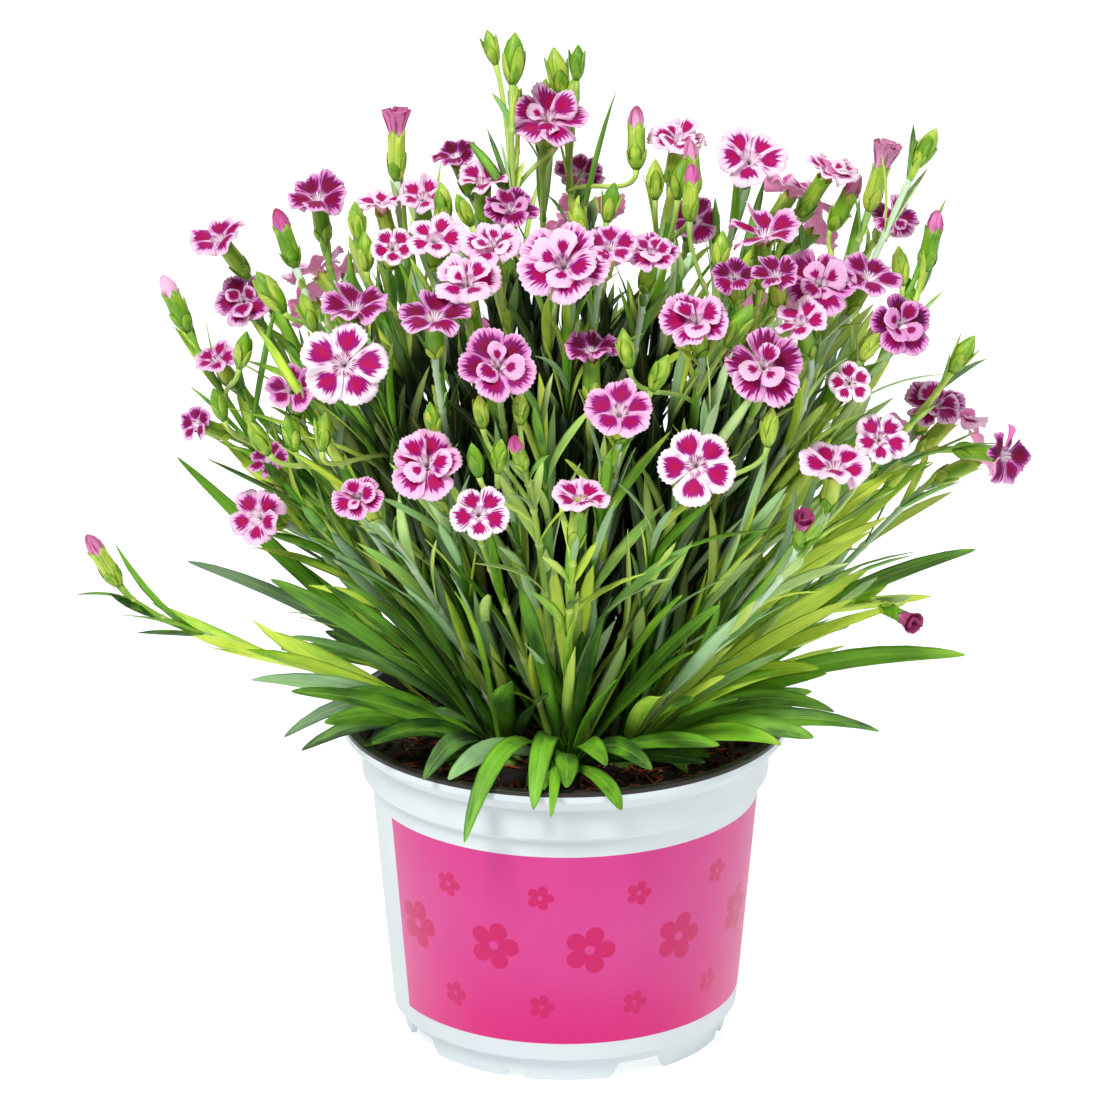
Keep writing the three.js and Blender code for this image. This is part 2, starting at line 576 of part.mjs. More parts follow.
function growHead(head, number) {
  const touching = head.joined ? [touchingPlace(head, number, 1), touchingPlace(head, number, -1)] : [];
  for (let k = 0; k < HEAD_TRIES; k++) {
    const draw = seeded(1000 + number * 200 + k);
    const loose = Math.min(1, k / 8);
    const shift = 30 * loose * (draw() - 0.5);
    const lift = 8 + 50 * loose * (draw() - 0.5);
    const pull = 0.2 + 0.3 * loose * (draw() - 0.5);
    const joins = touching[k % 2] && k < HEAD_TRIES / 2;
    const place = joins ? touching[k % 2] : head.placeAt(shift);
    const open = head.kind === 'open';
    const scale = open ? mix(0.72, 1, Math.min(1, head.size / 20)) : head.size;
    const back = open ? HEADS.open.length * scale + PETAL.throat + CLEARANCE : 0;
    const base = along(place, head.axis, -back);
    const tuft = nearestTuft(place);
    const out = vec(SPREAD * base.x - tufts[tuft].x, SPREAD * base.y - tufts[tuft].y, 0);
    const aside = out.multiplyScalar(0.45).clampLength(0, NECK.slots);
    const start = along(tufts[tuft], aside, 1).add(vec(0, 0, 1));
    const line = stemLine(start, base, head.axis, lift, pull);
    const stem = headOnStem(line, head.axis, head.kind, scale, STEM.steps, STEM.radius, STEM.sides);
    if (k % OWN_TRIES > OWN_TRIES / 2) stem.free = null;
    if (!isClear(stem, `tuft_${tuft}`, necks[tuft])) continue;
    if (open) {
      const flower = corolla(place, head.axis, head.size, head.whorls, number);
      const group = joins ? before.group : number;
      if (!isClear({ full: flower }, `petals_${group}`)) continue;
      if (flower.minGap(stem.full, 1) < 0.8 * CLEARANCE) continue;
      keep(`petals_${group}`, flower);
      before = { place, flower, group };
    }
    stems.push({ tuft, line, number, host: keep(`tuft_${tuft}`, stem.full) });
    return;
  }
}

heads.forEach(growHead);

const SIDE_TRIES = 14;
const SIDE_HOSTS = 7;
const FORKS = [0.6, 0.67, 0.75, 0.83];

function growSideBud([kind, x, s, size, right, up, into], number) {
  const axis = facing(right, up);
  const hosts = stems.flatMap((stem) => FORKS.map((t) => ({ stem, point: onStem(stem.line, t) })));
  for (let k = 0; k < SIDE_TRIES; k++) {
    const base = along(seat(x, s, into), SIGHT, 2.5 * k * (k % 2 ? 1 : -1));
    const far = ({ point }) => point.distanceTo(base) + (point.z > base.z - 8 ? 60 : 0);
    hosts.sort((a, b) => far(a) - far(b));
    for (const { stem, point } of hosts.slice(0, SIDE_HOSTS)) {
      const line = stemLine(point, base, axis, 2, 0.3);
      const shoot = headOnStem(line, axis, kind, size, 2, STEM.shoot, STEM.shootSides);
      if (isClear(shoot, `tuft_${stem.tuft}`, stem.host)) {
        keep(`tuft_${stem.tuft}`, shoot.full);
        return;
      }
    }
  }
}

SIDE_BUDS.forEach(growSideBud);

function growLongLeaf([rootX, rootY, x, s, y, arch, width], number) {
  const tuft = tufts.reduce((best, neck, i) => {
    const distance = (one) => Math.hypot(one.x - rootX, one.y - rootY);
    return distance(neck) < distance(tufts[best]) ? i : best;
  }, 0);
  const neck = tufts[tuft];
  for (let k = 0; k < 30; k++) {
    const draw = seeded(4000 + number * 40 + k);
    const loose = Math.min(1, k / 10);
    const tip = reach(x, s, y + 24 * loose * (draw() - 0.5));
    const out = vec(tip.x - neck.x, tip.y - neck.y, 0).normalize();
    const root = along(neck, out, NECK.radius - 2).add(vec(0, 0, 1.2));
    const bend = root.clone().lerp(tip, 0.5).add(vec(0, 0, arch * (1 + loose * (draw() - 0.4))));
    const leaf = blade(root, bend, tip, width, Math.atan2(tip.y - root.y, tip.x - root.x), STATIONS.long);
    if (k > 20) leaf.free = null;
    if (isClear(leaf, `tuft_${tuft}`, necks[tuft])) {
      keep(`tuft_${tuft}`, leaf.full);
      return;
    }
  }
}

LONG_LEAVES.forEach(growLongLeaf);

function growStrap(number) {
  for (let k = 0; k < STRAPS.tries; k++) {
    const draw = seeded(40000 + number * 40 + k);
    const x = mix(STRAPS.left, STRAPS.right, (number + draw()) / STRAPS.count);
    const s = mix(STRAPS.low, STRAPS.high, draw());
    const tip = reach(x, s, mix(STRAPS.near, STRAPS.far, draw()) * Math.sqrt(1 - (x / 115) ** 2));
    const width = mix(STRAPS.slim, STRAPS.wide, draw());
    const tuft = nearestTuft(tip);
    const neck = tufts[tuft];
    const aside = vec(tip.x - neck.x, tip.y - neck.y, 0);
    const root = along(neck, aside.clone().normalize(), NECK.radius - 2).add(vec(0, 0, 1.4));
    const bend = along(root, aside, STRAPS.lean).add(vec(0, 0, STRAPS.rise * (tip.z - root.z)));
    const leaf = blade(root, bend, tip, width, Math.atan2(aside.y, aside.x), STATIONS.basal);
    if (isClear(leaf, `tuft_${tuft}`, necks[tuft])) {
      keep(`tuft_${tuft}`, leaf.full);
      return;
    }
  }
}

for (let number = 0; number < STRAPS.count; number++) {
  growStrap(number);
}

function growBasalLeaf(tuft, number) {
  const neck = tufts[tuft];
  const outward = Math.atan2(neck.y, neck.x);
  const spread = isOuter(neck) ? 1.5 : Math.PI;
  for (let k = 0; k < BASAL.tries; k++) {
    const draw = seeded(6000 + tuft * 700 + number * 30 + k);
    const azimuth = outward + spread * (2 * draw() - 1);
    const climb = mix(BASAL.low, BASAL.steep, draw());
    const length = mix(BASAL.short, BASAL.long, draw());
    const width = mix(BASAL.slim, BASAL.wide, draw());
    const out = vec(Math.cos(azimuth), Math.sin(azimuth), 0);
    const root = along(neck, out, NECK.radius - 2).add(vec(0, 0, 0.8 + 1.4 * draw()));
    const way = out.clone().multiplyScalar(Math.cos(climb)).add(vec(0, 0, Math.sin(climb)));
    const bend = along(root, way, 0.5 * length).add(vec(0, 0, 0.16 * length));
    const tip = along(root, way, length).add(vec(0, 0, 0.04 * length));
    if (Math.abs(tip.y) > BASAL.reach) continue;
    const leaf = blade(root, bend, tip, width, azimuth, STATIONS.basal);
    if (isClear(leaf, `tuft_${tuft}`, necks[tuft])) {
      keep(`tuft_${tuft}`, leaf.full);
      return;
    }
  }
}

tufts.forEach((neck, tuft) => {
  const count = isOuter(neck) ? BASAL.outer : BASAL.inner;
  for (let number = 0; number < count; number++) {
    growBasalLeaf(tuft, number);
  }
});

function growStemLeaf({ tuft, line, number, host }, level, sideTurn) {
  for (let k = 0; k < STEM_LEAVES.tries; k++) {
    const draw = seeded(20000 + number * 100 + level * 40 + sideTurn * 20 + k);
    if (k === 0 && draw() > STEM_LEAVES.share) return;
    const root = onStem(line, STEM_LEAVES.at[level]);
    const way = line.getTangent(STEM_LEAVES.at[level]);
    const azimuth = number * 2.4 + level * 1.57 + sideTurn * Math.PI + 1.2 * (draw() - 0.5);
    const length = STEM_LEAVES.lengths[level] * mix(0.75, 1.2, draw());
    const out = vec(Math.cos(azimuth), Math.sin(azimuth), 0);
    const lean = way.clone().addScaledVector(out, 0.5).normalize();
    const bend = along(root, lean, 0.5 * length);
    const tip = along(along(root, lean, length), out, 0.2 * length);
    const leaf = blade(root, bend, tip, STEM_LEAVES.widths[level], azimuth, STATIONS.short);
    if (isClear(leaf, `tuft_${tuft}`, host)) {
      keep(`tuft_${tuft}`, leaf.full);
      return;
    }
  }
}

for (const stem of stems) {
  for (const level of [0, 1]) {
    for (const sideTurn of [0, 1]) {
      growStemLeaf(stem, level, sideTurn);
    }
  }
}

// --- nodes --------------------------------------------------------------------------------------------

const MATERIALS = {
  pot: new THREE.MeshStandardMaterial({ color: 0xeef2f3, roughness: 0.4, metalness: 0 }),
  soil: new THREE.MeshStandardMaterial({ color: 0x2e1c12, roughness: 0.95, metalness: 0 }),
  green: new THREE.MeshStandardMaterial({ color: 0x4f8f2c, roughness: 0.55, metalness: 0 }),
  petals: new THREE.MeshStandardMaterial({ color: 0xe07ab4, roughness: 0.6, metalness: 0 }),
};

const unionOf = (family) => wasm.Manifold.union(
  pieces.filter((piece) => piece.node === family || piece.node.split('_')[0] === family)
    .map((piece) => piece.solid)).simplify(FUSE_TOLERANCE);

const nodeName = (family, i) => `${family}_${String(i + 1).padStart(2, '0')}`;

const dianthus = new THREE.Group();
dianthus.name = 'dianthus_in_pot';
dianthus.add(meshFrom('pot', unionOf('pot'), MATERIALS.pot));
dianthus.add(meshFrom('soil', unionOf('soil'), MATERIALS.soil));
tufts.forEach((_, i) => {
  const [tuft] = unionOf(`tuft_${i}`).decompose().sort((a, b) => b.volume() - a.volume());
  dianthus.add(meshFrom(nodeName('tuft', i), tuft, MATERIALS.green));
});
const blooms = unionOf('petals').decompose().filter((body) => body.volume() > 0);
blooms.forEach((bloom, i) => {
  dianthus.add(meshFrom(nodeName('bloom', i), bloom, MATERIALS.petals));
});

export default dianthus;
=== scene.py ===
# %% [markdown]
# # A pot carnation in full flower
#
# This lesson dresses a potted dianthus: a round nursery pot full of peat, eight rooted plants
# with their stems, leaves, buds and calyces, and about seventy toothed blooms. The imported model
# already says where each stem, leaf and flower stands. Here every one of them gets a finer skin
# in the same place, so that the plant keeps its form and gains its looks.

# %% Load the frame and note its size
import math

import bmesh
import bpy
from mathutils import Matrix, Vector, noise
from mathutils.bvhtree import BVHTree


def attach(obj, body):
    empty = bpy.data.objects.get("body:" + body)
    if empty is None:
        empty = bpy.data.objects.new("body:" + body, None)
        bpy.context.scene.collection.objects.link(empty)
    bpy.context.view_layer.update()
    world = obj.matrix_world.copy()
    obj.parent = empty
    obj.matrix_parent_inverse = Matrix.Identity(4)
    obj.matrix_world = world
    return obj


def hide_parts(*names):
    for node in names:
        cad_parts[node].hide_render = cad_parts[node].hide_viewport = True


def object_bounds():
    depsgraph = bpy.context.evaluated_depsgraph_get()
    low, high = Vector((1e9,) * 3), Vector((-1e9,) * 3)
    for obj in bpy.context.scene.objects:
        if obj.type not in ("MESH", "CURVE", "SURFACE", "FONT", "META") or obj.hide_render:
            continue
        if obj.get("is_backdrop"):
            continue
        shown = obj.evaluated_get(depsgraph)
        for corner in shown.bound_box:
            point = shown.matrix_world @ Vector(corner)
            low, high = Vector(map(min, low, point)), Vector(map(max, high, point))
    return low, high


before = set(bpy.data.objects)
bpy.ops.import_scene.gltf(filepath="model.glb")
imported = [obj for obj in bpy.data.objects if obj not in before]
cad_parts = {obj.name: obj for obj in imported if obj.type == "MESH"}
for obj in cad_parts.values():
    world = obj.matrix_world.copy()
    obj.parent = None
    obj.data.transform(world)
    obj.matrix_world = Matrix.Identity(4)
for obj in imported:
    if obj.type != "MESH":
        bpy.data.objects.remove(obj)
cad_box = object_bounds()
MM = 0.001
UP = Vector((0, 0, 1))
print("nodes:", len(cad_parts), "height in mm:", round(cad_box[1].z / MM, 1))

# %% [markdown]
# ## Camera
#
# The plant is seen from the front and a little above, from well away, as in a catalogue. A long
# lens keeps the pot's sides nearly upright. The sight line is kept as a value, because the plan
# of the flowers below is drawn on a sheet that faces the same way.

# %% Camera
EYE_RISE = math.radians(19.7)
EYE_DISTANCE = 1800
EYE_TARGET = Vector((-1.4, 0, 132.2))
EYE_LENS = 216.7
SIGHT = Vector((0, math.cos(EYE_RISE), -math.sin(EYE_RISE)))
SHEET_UP = Vector((0, math.sin(EYE_RISE), math.cos(EYE_RISE)))
EYE = EYE_TARGET - EYE_DISTANCE * SIGHT

camera_data = bpy.data.cameras.new("camera")
camera_data.lens = EYE_LENS
camera_data.sensor_width = 36
camera = bpy.data.objects.new("camera", camera_data)
camera.location = EYE * MM
camera.rotation_euler = (math.pi / 2 - EYE_RISE, 0, 0)
bpy.context.scene.collection.objects.link(camera)
bpy.context.scene.camera = camera
print("camera at", [round(c, 3) for c in camera.location])

# %% [markdown]
# ## Finishes
#
# Each finish is a small network of nodes. Written out one by one they fill pages, so this class
# gives every node that the plant needs one short method. A number that differs from point to
# point is a Share, and Python's own signs add and multiply it, so that a formula in the nodes
# reads like any other. A value that is the same all over goes straight on the shader's socket.


# %% Numbers that differ from point to point
class Share:
    def __init__(self, look, socket):
        self.look, self.socket = look, socket

    def __add__(self, other):
        return self.look.math("ADD", self, other)

    def __sub__(self, other):
        return self.look.math("SUBTRACT", self, other)

    def __mul__(self, other):
        return self.look.math("MULTIPLY", self, other)

    def __truediv__(self, other):
        return self.look.math("DIVIDE", self, other)

    def __abs__(self):
        return self.look.math("ABSOLUTE", self)


def srgb(code):
    channels = [int(code[i:i + 2], 16) / 255 for i in (0, 2, 4)]
    linear = [c / 12.92 if c < 0.04045 else ((c + 0.055) / 1.055) ** 2.4 for c in channels]
    return (*linear, 1.0)


# %% A material in the making
class Finish:
    def __init__(self, name, roughness, **constants):
        self.material = bpy.data.materials.new(name)
        self.material.use_nodes = True
        self.tree = self.material.node_tree
        self.shader = self.tree.nodes["Principled BSDF"]
        self.shader.inputs["Roughness"].default_value = roughness
        for socket, value in constants.items():
            self.shader.inputs[socket.replace("_", " ")].default_value = value

    def node(self, kind, inputs=(), **settings):
        node = self.tree.nodes.new("ShaderNode" + kind)
        for key, value in settings.items():
            setattr(node, key, value)
        for key, value in dict(inputs).items():
            self.plug(node.inputs[key], value)
        return node

    def plug(self, socket, value):
        if isinstance(value, Share):
            value = value.socket
        if isinstance(value, bpy.types.NodeSocket):
            self.tree.links.new(value, socket)
        else:
            socket.default_value = value

    def math(self, operation, *values):
        return Share(self, self.node("Math", enumerate(values), operation=operation).outputs[0])

    def vector(self, x, y, z=0.0):
        return self.node("CombineXYZ", {"X": x, "Y": y, "Z": z}).outputs[0]

    def step(self, value, low, high):
        """From 0 at the first value to 1 at the second, with soft ends."""
        inputs = {"Value": value, "From Min": low, "From Max": high}
        return Share(self, self.node("MapRange", inputs, interpolation_type="SMOOTHSTEP").outputs[0])

    def ramp(self, value, low, high, first, last):
        inputs = {"Value": value, "From Min": low, "From Max": high, "To Min": first, "To Max": last}
        return Share(self, self.node("MapRange", inputs).outputs[0])

    def between(self, value, low, high, soft):
        """One between the two values and nothing beyond them, with ends that are a little soft."""
        return self.step(value, low - soft, low + soft) * self.step(value, high + soft, high - soft)

    def mix(self, factor, a, b):
        a, b = (srgb(c) if isinstance(c, str) else c for c in (a, b))
        return self.node("Mix", {0: factor, 6: a, 7: b}, data_type="RGBA").outputs[2]

    def noise(self, vector, scale, detail=2.0, seed=0.0):
        inputs = {"Vector": vector, "W": seed, "Scale": scale, "Detail": detail}
        return Share(self, self.node("TexNoise", inputs, noise_dimensions="4D").outputs[0])

    def split(self, kind, value):
        return [Share(self, part) for part in self.node(kind, {0: value}).outputs[:3]]

    def sheet(self):
        """The piece's own map: u across or around it, v from its root to its tip."""
        uv = self.node("UVMap", uv_map="UVMap").outputs[0]
        return self.split("SeparateXYZ", uv)[:2]

    def place(self):
        """Where a point lies on the object, in metres."""
        coordinates = self.node("TexCoord").outputs["Object"]
        return coordinates, self.split("SeparateXYZ", coordinates)

    def tone(self):
        """The three shares that a leaf or a flower carries, and its own random number."""
        attribute = self.node("Attribute", attribute_name="tone")
        parts = self.split("SeparateColor", attribute.outputs["Color"])
        return [*parts, Share(self, attribute.outputs["Alpha"])]

    def done(self, colour, relief=None, depth=0.1):
        self.plug(self.shader.inputs["Base Color"], colour)
        if relief is not None:
            bump = self.node("Bump", {"Height": relief, "Strength": depth, "Distance": MM})
            self.plug(self.shader.inputs["Normal"], bump.outputs[0])
        print("finish:", self.material.name, "with", len(self.tree.nodes), "nodes")
        return self.material


# %% [markdown]
# ## Floor and light
#
# A plain white floor, lit a little from below as a light table is, and soft white light from all
# round. One large lamp high in front models the petals, and two weaker ones fill the shadows.

# %% Floor, sky and lamps
floor_bm = bmesh.new()
bmesh.ops.create_grid(floor_bm, x_segments=1, y_segments=1, size=6)
floor_mesh = bpy.data.meshes.new("floor")
floor_bm.to_mesh(floor_mesh)
floor_bm.free()
floor = bpy.data.objects.new("floor", floor_mesh)
floor.location.z = -0.0002
bpy.context.scene.collection.objects.link(floor)
floor_finish = Finish("studio_floor", 0.9, Emission_Color=(1, 1, 1, 1), Emission_Strength=0.6)
floor_mesh.materials.append(floor_finish.done(srgb("CDCDCD")))
floor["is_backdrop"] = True

sky = bpy.data.worlds.new("studio_sky")
sky.use_nodes = True
sky.node_tree.nodes["Background"].inputs["Color"].default_value = (1, 1, 1, 1)
sky.node_tree.nodes["Background"].inputs["Strength"].default_value = 0.3
bpy.context.scene.world = sky
bpy.context.scene.view_settings.view_transform = "Standard"

LAMP_AIM = Vector((0, 0, 0.14))
# The name, the place in metres, the size and the power.
LAMPS = [
    ("key", (-0.5, -1.0, 1.45), 0.5, 29),
    ("side", (1.1, -0.5, 0.9), 0.6, 5),
    ("back", (0.3, 1.2, 1.1), 0.8, 9),
]


def hang_lamp(name, place, size, power):
    data = bpy.data.lights.new(name, "AREA")
    data.size = size
    data.energy = power
    lamp = bpy.data.objects.new(name, data)
    lamp.location = place
    lamp.rotation_euler = (LAMP_AIM - lamp.location).to_track_quat("-Z", "Y").to_euler()
    bpy.context.scene.collection.objects.link(lamp)


for lamp_row in LAMPS:
    hang_lamp(*lamp_row)
print("lamps:", len(LAMPS))

# %% [markdown]
# ## Building helpers
#
# Every leaf, stem, sepal and petal is the same thing to a modeller: a sheet of a few rows and
# columns, laid along a curve and either left open, as a petal, or rolled and closed, as a stem.
# So one helper makes a grid with its map, moves each point to its place, and welds what meets.
# It also stores four numbers on each point, which the finishes read as the colour's shares.


# %% Sums and ways that every piece needs
def mix(a, b, share):
    return a + (b - a) * share


def ease(value, low, high):
    share = min(1, max(0, (value - low) / (high - low)))
    return share * share * (3 - 2 * share)


def level_way(azimuth):
    return Vector((math.cos(azimuth), math.sin(azimuth), 0))


def spoke(side, up, turn):
    """The way that lies `turn` on from one side towards the other, as on a wheel."""
    return math.cos(turn) * side + math.sin(turn) * up


# %% Pieces and skins
def new_piece():
    bm = bmesh.new()
    bm.loops.layers.uv.new("UVMap")
    bm.verts.layers.float_color.new("tone")
    return bm


def skin(bm, columns, rows, place, material, tone, rolled=True):
    """A grid whose points go where `place` says, with u across it and v along it from 0 to 1."""
    layer = bm.verts.layers.float_color["tone"]
    grid = bmesh.ops.create_grid(bm, x_segments=columns, y_segments=rows, size=0.5, calc_uvs=True)
    faces = set()
    for vert in grid["verts"]:
        u, v = vert.co.x + 0.5, vert.co.y + 0.5
        vert.co = place(u, v) * MM
        vert[layer] = tone(u, v) if callable(tone) else tone
        faces.update(vert.link_faces)
    for face in faces:
        face.material_index = material
        face.smooth = True
    if rolled:
        bmesh.ops.remove_doubles(bm, verts=grid["verts"], dist=1e-7)


def save_piece(bm, name, materials, nodes):
    mesh = bpy.data.meshes.new(name)
    bm.to_mesh(mesh)
    bm.free()
    for material in materials:
        mesh.materials.append(material)
    piece = bpy.data.objects.new(name, mesh)
    bpy.context.scene.collection.objects.link(piece)
    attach(piece, "root")
    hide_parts(*nodes)
    return piece


# %% Rods along a line
def carried_frames(points):
    """At each point of a line two sides, square to its way and carried along without twist."""
    side = None
    frames = []
    for k, point in enumerate(points):
        way = (points[min(k + 1, len(points) - 1)] - points[max(k - 1, 0)]).normalized()
        if side is None:
            side = Vector((0.3, 1, 0.1)).cross(way)
        side = (side - side.dot(way) * way).normalized()
        frames.append((point, side, way.cross(side)))
    return frames


def round_skin(bm, points, radii, columns, material, tone):
    """A round rod through the points, closed flat at both ends."""
    frames = carried_frames(points)
    frames = [frames[0], *frames, frames[-1]]
    sizes = [0, *radii, 0]

    def place(u, v):
        k = round(v * (len(frames) - 1))
        point, side, up = frames[k]
        return point + sizes[k] * spoke(side, up, 2 * math.pi * u)

    skin(bm, columns, len(frames) - 1, place, material, tone)


# %% [markdown]
# ## The planting plan
#
# The model was grown by rule: each head has its place on a drawing sheet that faces the eye, and
# where a stem crossed another the rule drew again. The plan is repeated here so that the fine
# skins can follow it. x runs right of the pot's axis and s up the sheet, in millimetres, then
# come the width of the open flower or the size of the bud, the way it faces, how deep it stands
# in the dome of flowers, and its whorls of petals. A joined flower touches the one before it.

# %% Heads on stems of their own
JOINED = True
CROWN = [
    ("open", -5, 256, 22, 0.05, 0.5, 0.45, 2),
    ("bud", -14, 265, 1.15, 0.05, 0.98, 0.5, 0),
    ("bud", -1, 263, 1.15, -0.15, 0.95, 0.6, 0),
    ("cup", -45, 240, 1, 0, 0.97, 0.4, 0),
    ("open", -29, 246, 13, -0.3, 0.7, 0.5, 1),
    ("open", -22, 239, 15, 0, 0.8, 0.4, 1),
    ("open", -14, 231, 16, 0.1, 0.6, 0.25, 2, JOINED),
    ("open", 4, 242, 14, 0.1, 0.5, 0.6, 1),
    ("open", 30, 250, 17, 0.1, 0.75, 0.4, 3),
    ("open", 49, 245, 19, 0.1, 0.4, 0.45, 1),
    ("open", 35, 230, 14, 0.1, 0.3, 0.4, 1),
]
MIDDLE = [
    ("open", -35, 224, 16, 0, 0.45, 0.08, 1),
    ("open", -46, 222, 12, 0.1, 0.3, 0.15, 1, JOINED),
    ("open", -19, 222, 17, -0.1, 0.6, 0.08, 2),
    ("open", -26, 212, 19, 0, 0.5, 0.04, 2, JOINED),
    ("open", -35, 203, 21, 0, 0.6, 0.02, 1, JOINED),
    ("open", -18, 190, 22, 0, 0.3, 0.02, 2),
    ("open", -0.5, 217, 25, -0.05, 0.35, 0.02, 3),
    ("open", 12, 222, 15, 0.15, 0.5, 0.1, 1, JOINED),
    ("open", 23, 220, 16, 0.1, 0.6, 0.08, 3, JOINED),
    ("open", 35, 202, 20, -0.1, 0.5, 0.04, 2),
    ("open", 7, 194, 16, 0, 0.85, 0.12, 1),
    ("open", 14.5, 178, 19, 0, 0.45, 0.04, 1),
]
LOWER = [
    ("open", -37, 164, 20, -0.1, 0.3, 0.04, 2),
    ("open", -55, 155, 14, -0.3, 0.35, 0.06, 2),
    ("open", -23, 151, 15, 0.05, 0.15, 0.03, 1),
    ("tip", -11, 163, 0.8, -0.2, 0.6, 0.06, 0),
    ("open", 4, 154, 17, 0.1, 0.8, 0.06, 1),
    ("open", 35, 164, 21, 0, 0.05, 0.02, 1),
    ("open", 72, 163, 20, 0.1, 0.7, 0.08, 1),
    ("cup", 62, 142, 0.7, 0.1, 0.6, 0.08, 0),
    ("cup", 84, 127, 0.75, 0.6, -0.35, 0.35, 0),
]
LEFT = [
    ("open", -66, 235, 17, -0.1, 0.75, 0.35, 1),
    ("open", -49, 233, 13, -0.2, 0.8, 0.35, 1),
    ("open", -38, 235, 14, 0, 0.5, 0.2, 1, JOINED),
    ("open", -92, 224, 17, -0.45, 0.6, 0.5, 1),
    ("tip", -72, 217, 1, -0.3, 0.9, 0.3, 0),
    ("open", -86, 208, 17, -0.2, 0.25, 0.3, 2),
    ("open", -93, 192, 12, -0.35, 0.5, 0.4, 1),
    ("open", -98, 175, 11, -0.6, 0.2, 0.5, 1),
    ("open", -82, 150, 16, -0.45, 0.1, 0.35, 1),
    ("open", -79, 165, 12, -0.3, 0.5, 0.4, 1),
    ("open", -73, 184, 15, -0.1, 0.45, 0.15, 1),
    ("open", -59, 191, 23, 0, 0.1, 0.02, 1),
    ("open", -56, 207, 18, 0.1, 0.75, 0.12, 1, JOINED),
    ("tip", -101, 200, 1, -0.4, 0.88, 0.5, 0),
    ("tip", -119, 132, 1, -0.5, 0.8, 0.5, 0),
]
RIGHT = [
    ("open", 53, 225, 20, 0.05, 0.85, 0.15, 1),
    ("open", 56, 214, 13, -0.1, 0.6, 0.12, 1, JOINED),
    ("open", 44, 214, 12, -0.1, 0.4, 0.12, 1, JOINED),
    ("open", 63, 202, 15, -0.2, 0.6, 0.06, 1),
    ("open", 68, 212, 21, 0, 0.35, 0.08, 3, JOINED),
    ("open", 81, 214, 17, 0.35, 0.6, 0.25, 1, JOINED),
    ("open", 90, 200, 19, 0.4, 0.1, 0.35, 3, JOINED),
    ("open", 70, 242, 16, 0.5, 0.75, 0.45, 2),
    ("cup", 81, 232, 1, 0.25, 0.9, 0.5, 0),
    ("open", 88, 230, 14, 0.3, 0.35, 0.5, 2),
    ("bud", 93, 243, 1, 0.45, 0.85, 0.6, 0),
    ("tip", 96, 216, 1, 0.2, 0.95, 0.6, 0),
    ("bud", 103, 189, 1, 0.5, 0.8, 0.5, 0),
    ("open", 53, 190, 22, 0, 0.25, 0.02, 2),
    ("open", 76, 186, 12, 0.05, 0.1, 0.12, 1),
    ("open", 84, 171, 15, 0.15, 0.2, 0.15, 1),
    ("open", 99, 180, 17, 0.3, 0.45, 0.5, 2),
    ("open", 117, 167, 18, 0.85, -0.1, 0.5, 1),
]

# %% Buds on side shoots, and the long leaves
SIDE_BUDS = [
    ("bud", -18.5, 271, 0.8, -0.25, 0.95, 0.5), ("bud", -13, 258, 0.75, -0.1, 0.98, 0.5),
    ("bud", -6.5, 259, 0.75, 0.15, 0.98, 0.52), ("bud", 3, 267, 0.8, 0.05, 0.98, 0.55),
    ("bud", 2, 259, 0.75, 0, 0.98, 0.55), ("bud", -32, 229, 0.9, -0.1, 0.95, 0.12),
    ("bud", -25, 228, 0.8, -0.4, 0.85, 0.12), ("bud", -53, 216, 0.9, -0.05, 0.95, 0.15),
    ("bud", -55, 224, 0.9, -0.1, 0.95, 0.25), ("bud", -75, 205, 1.1, -0.55, 0.8, 0.25),
    ("bud", -67, 200, 0.9, -0.3, 0.9, 0.15), ("bud", -87, 190, 0.9, 0.2, 0.9, 0.3),
    ("bud", 11, 229, 0.9, 0.2, 0.95, 0.2), ("bud", 4, 225, 0.8, -0.1, 0.95, 0.2),
    ("tip", 19, 243, 1, 0, 1, 0.4), ("bud", 24, 235, 0.9, 0, 0.98, 0.35),
    ("bud", 30, 235, 0.9, 0.1, 0.98, 0.35), ("tip", 34.5, 236, 0.9, -0.1, 0.95, 0.35),
    ("tip", 33, 229, 0.9, 0.05, 0.98, 0.3), ("bud", 41, 216, 0.9, 0.1, 0.98, 0.15),
    ("bud", 43, 196, 1.1, 0.5, 0.8, 0.08), ("bud", 17, 190, 0.9, -0.15, 0.95, 0.08),
    ("bud", 23, 184, 0.9, 0.4, 0.85, 0.08), ("tip", 71, 227, 1, 0.45, 0.85, 0.4),
    ("bud", 90, 212, 0.9, -0.1, 0.98, 0.5), ("bud", 91, 205, 0.8, 0.1, 0.95, 0.5),
    ("bud", 102, 183, 0.8, 0.2, 0.95, 0.5), ("bud", -22, 174, 0.8, -0.1, 0.9, 0.08),
    ("bud", -12, 175, 0.8, 0, 0.9, 0.08), ("bud", -35, 172, 0.8, -0.1, 0.9, 0.08),
    ("bud", -23, 161, 0.8, -0.2, 0.9, 0.06), ("bud", -18, 162, 0.8, 0.1, 0.9, 0.06),
    ("bud", 54, 169, 0.9, 0.1, 0.95, 0.08), ("bud", -79, 167, 0.9, -0.5, 0.8, 0.25),
    ("bud", -72, 168, 0.9, -0.2, 0.9, 0.2), ("bud", -65, 168, 0.9, 0.1, 0.95, 0.12),
    ("bud", -91, 176, 0.8, -0.3, 0.9, 0.4), ("bud", 79, 192, 0.8, 0.5, 0.8, 0.12),
]
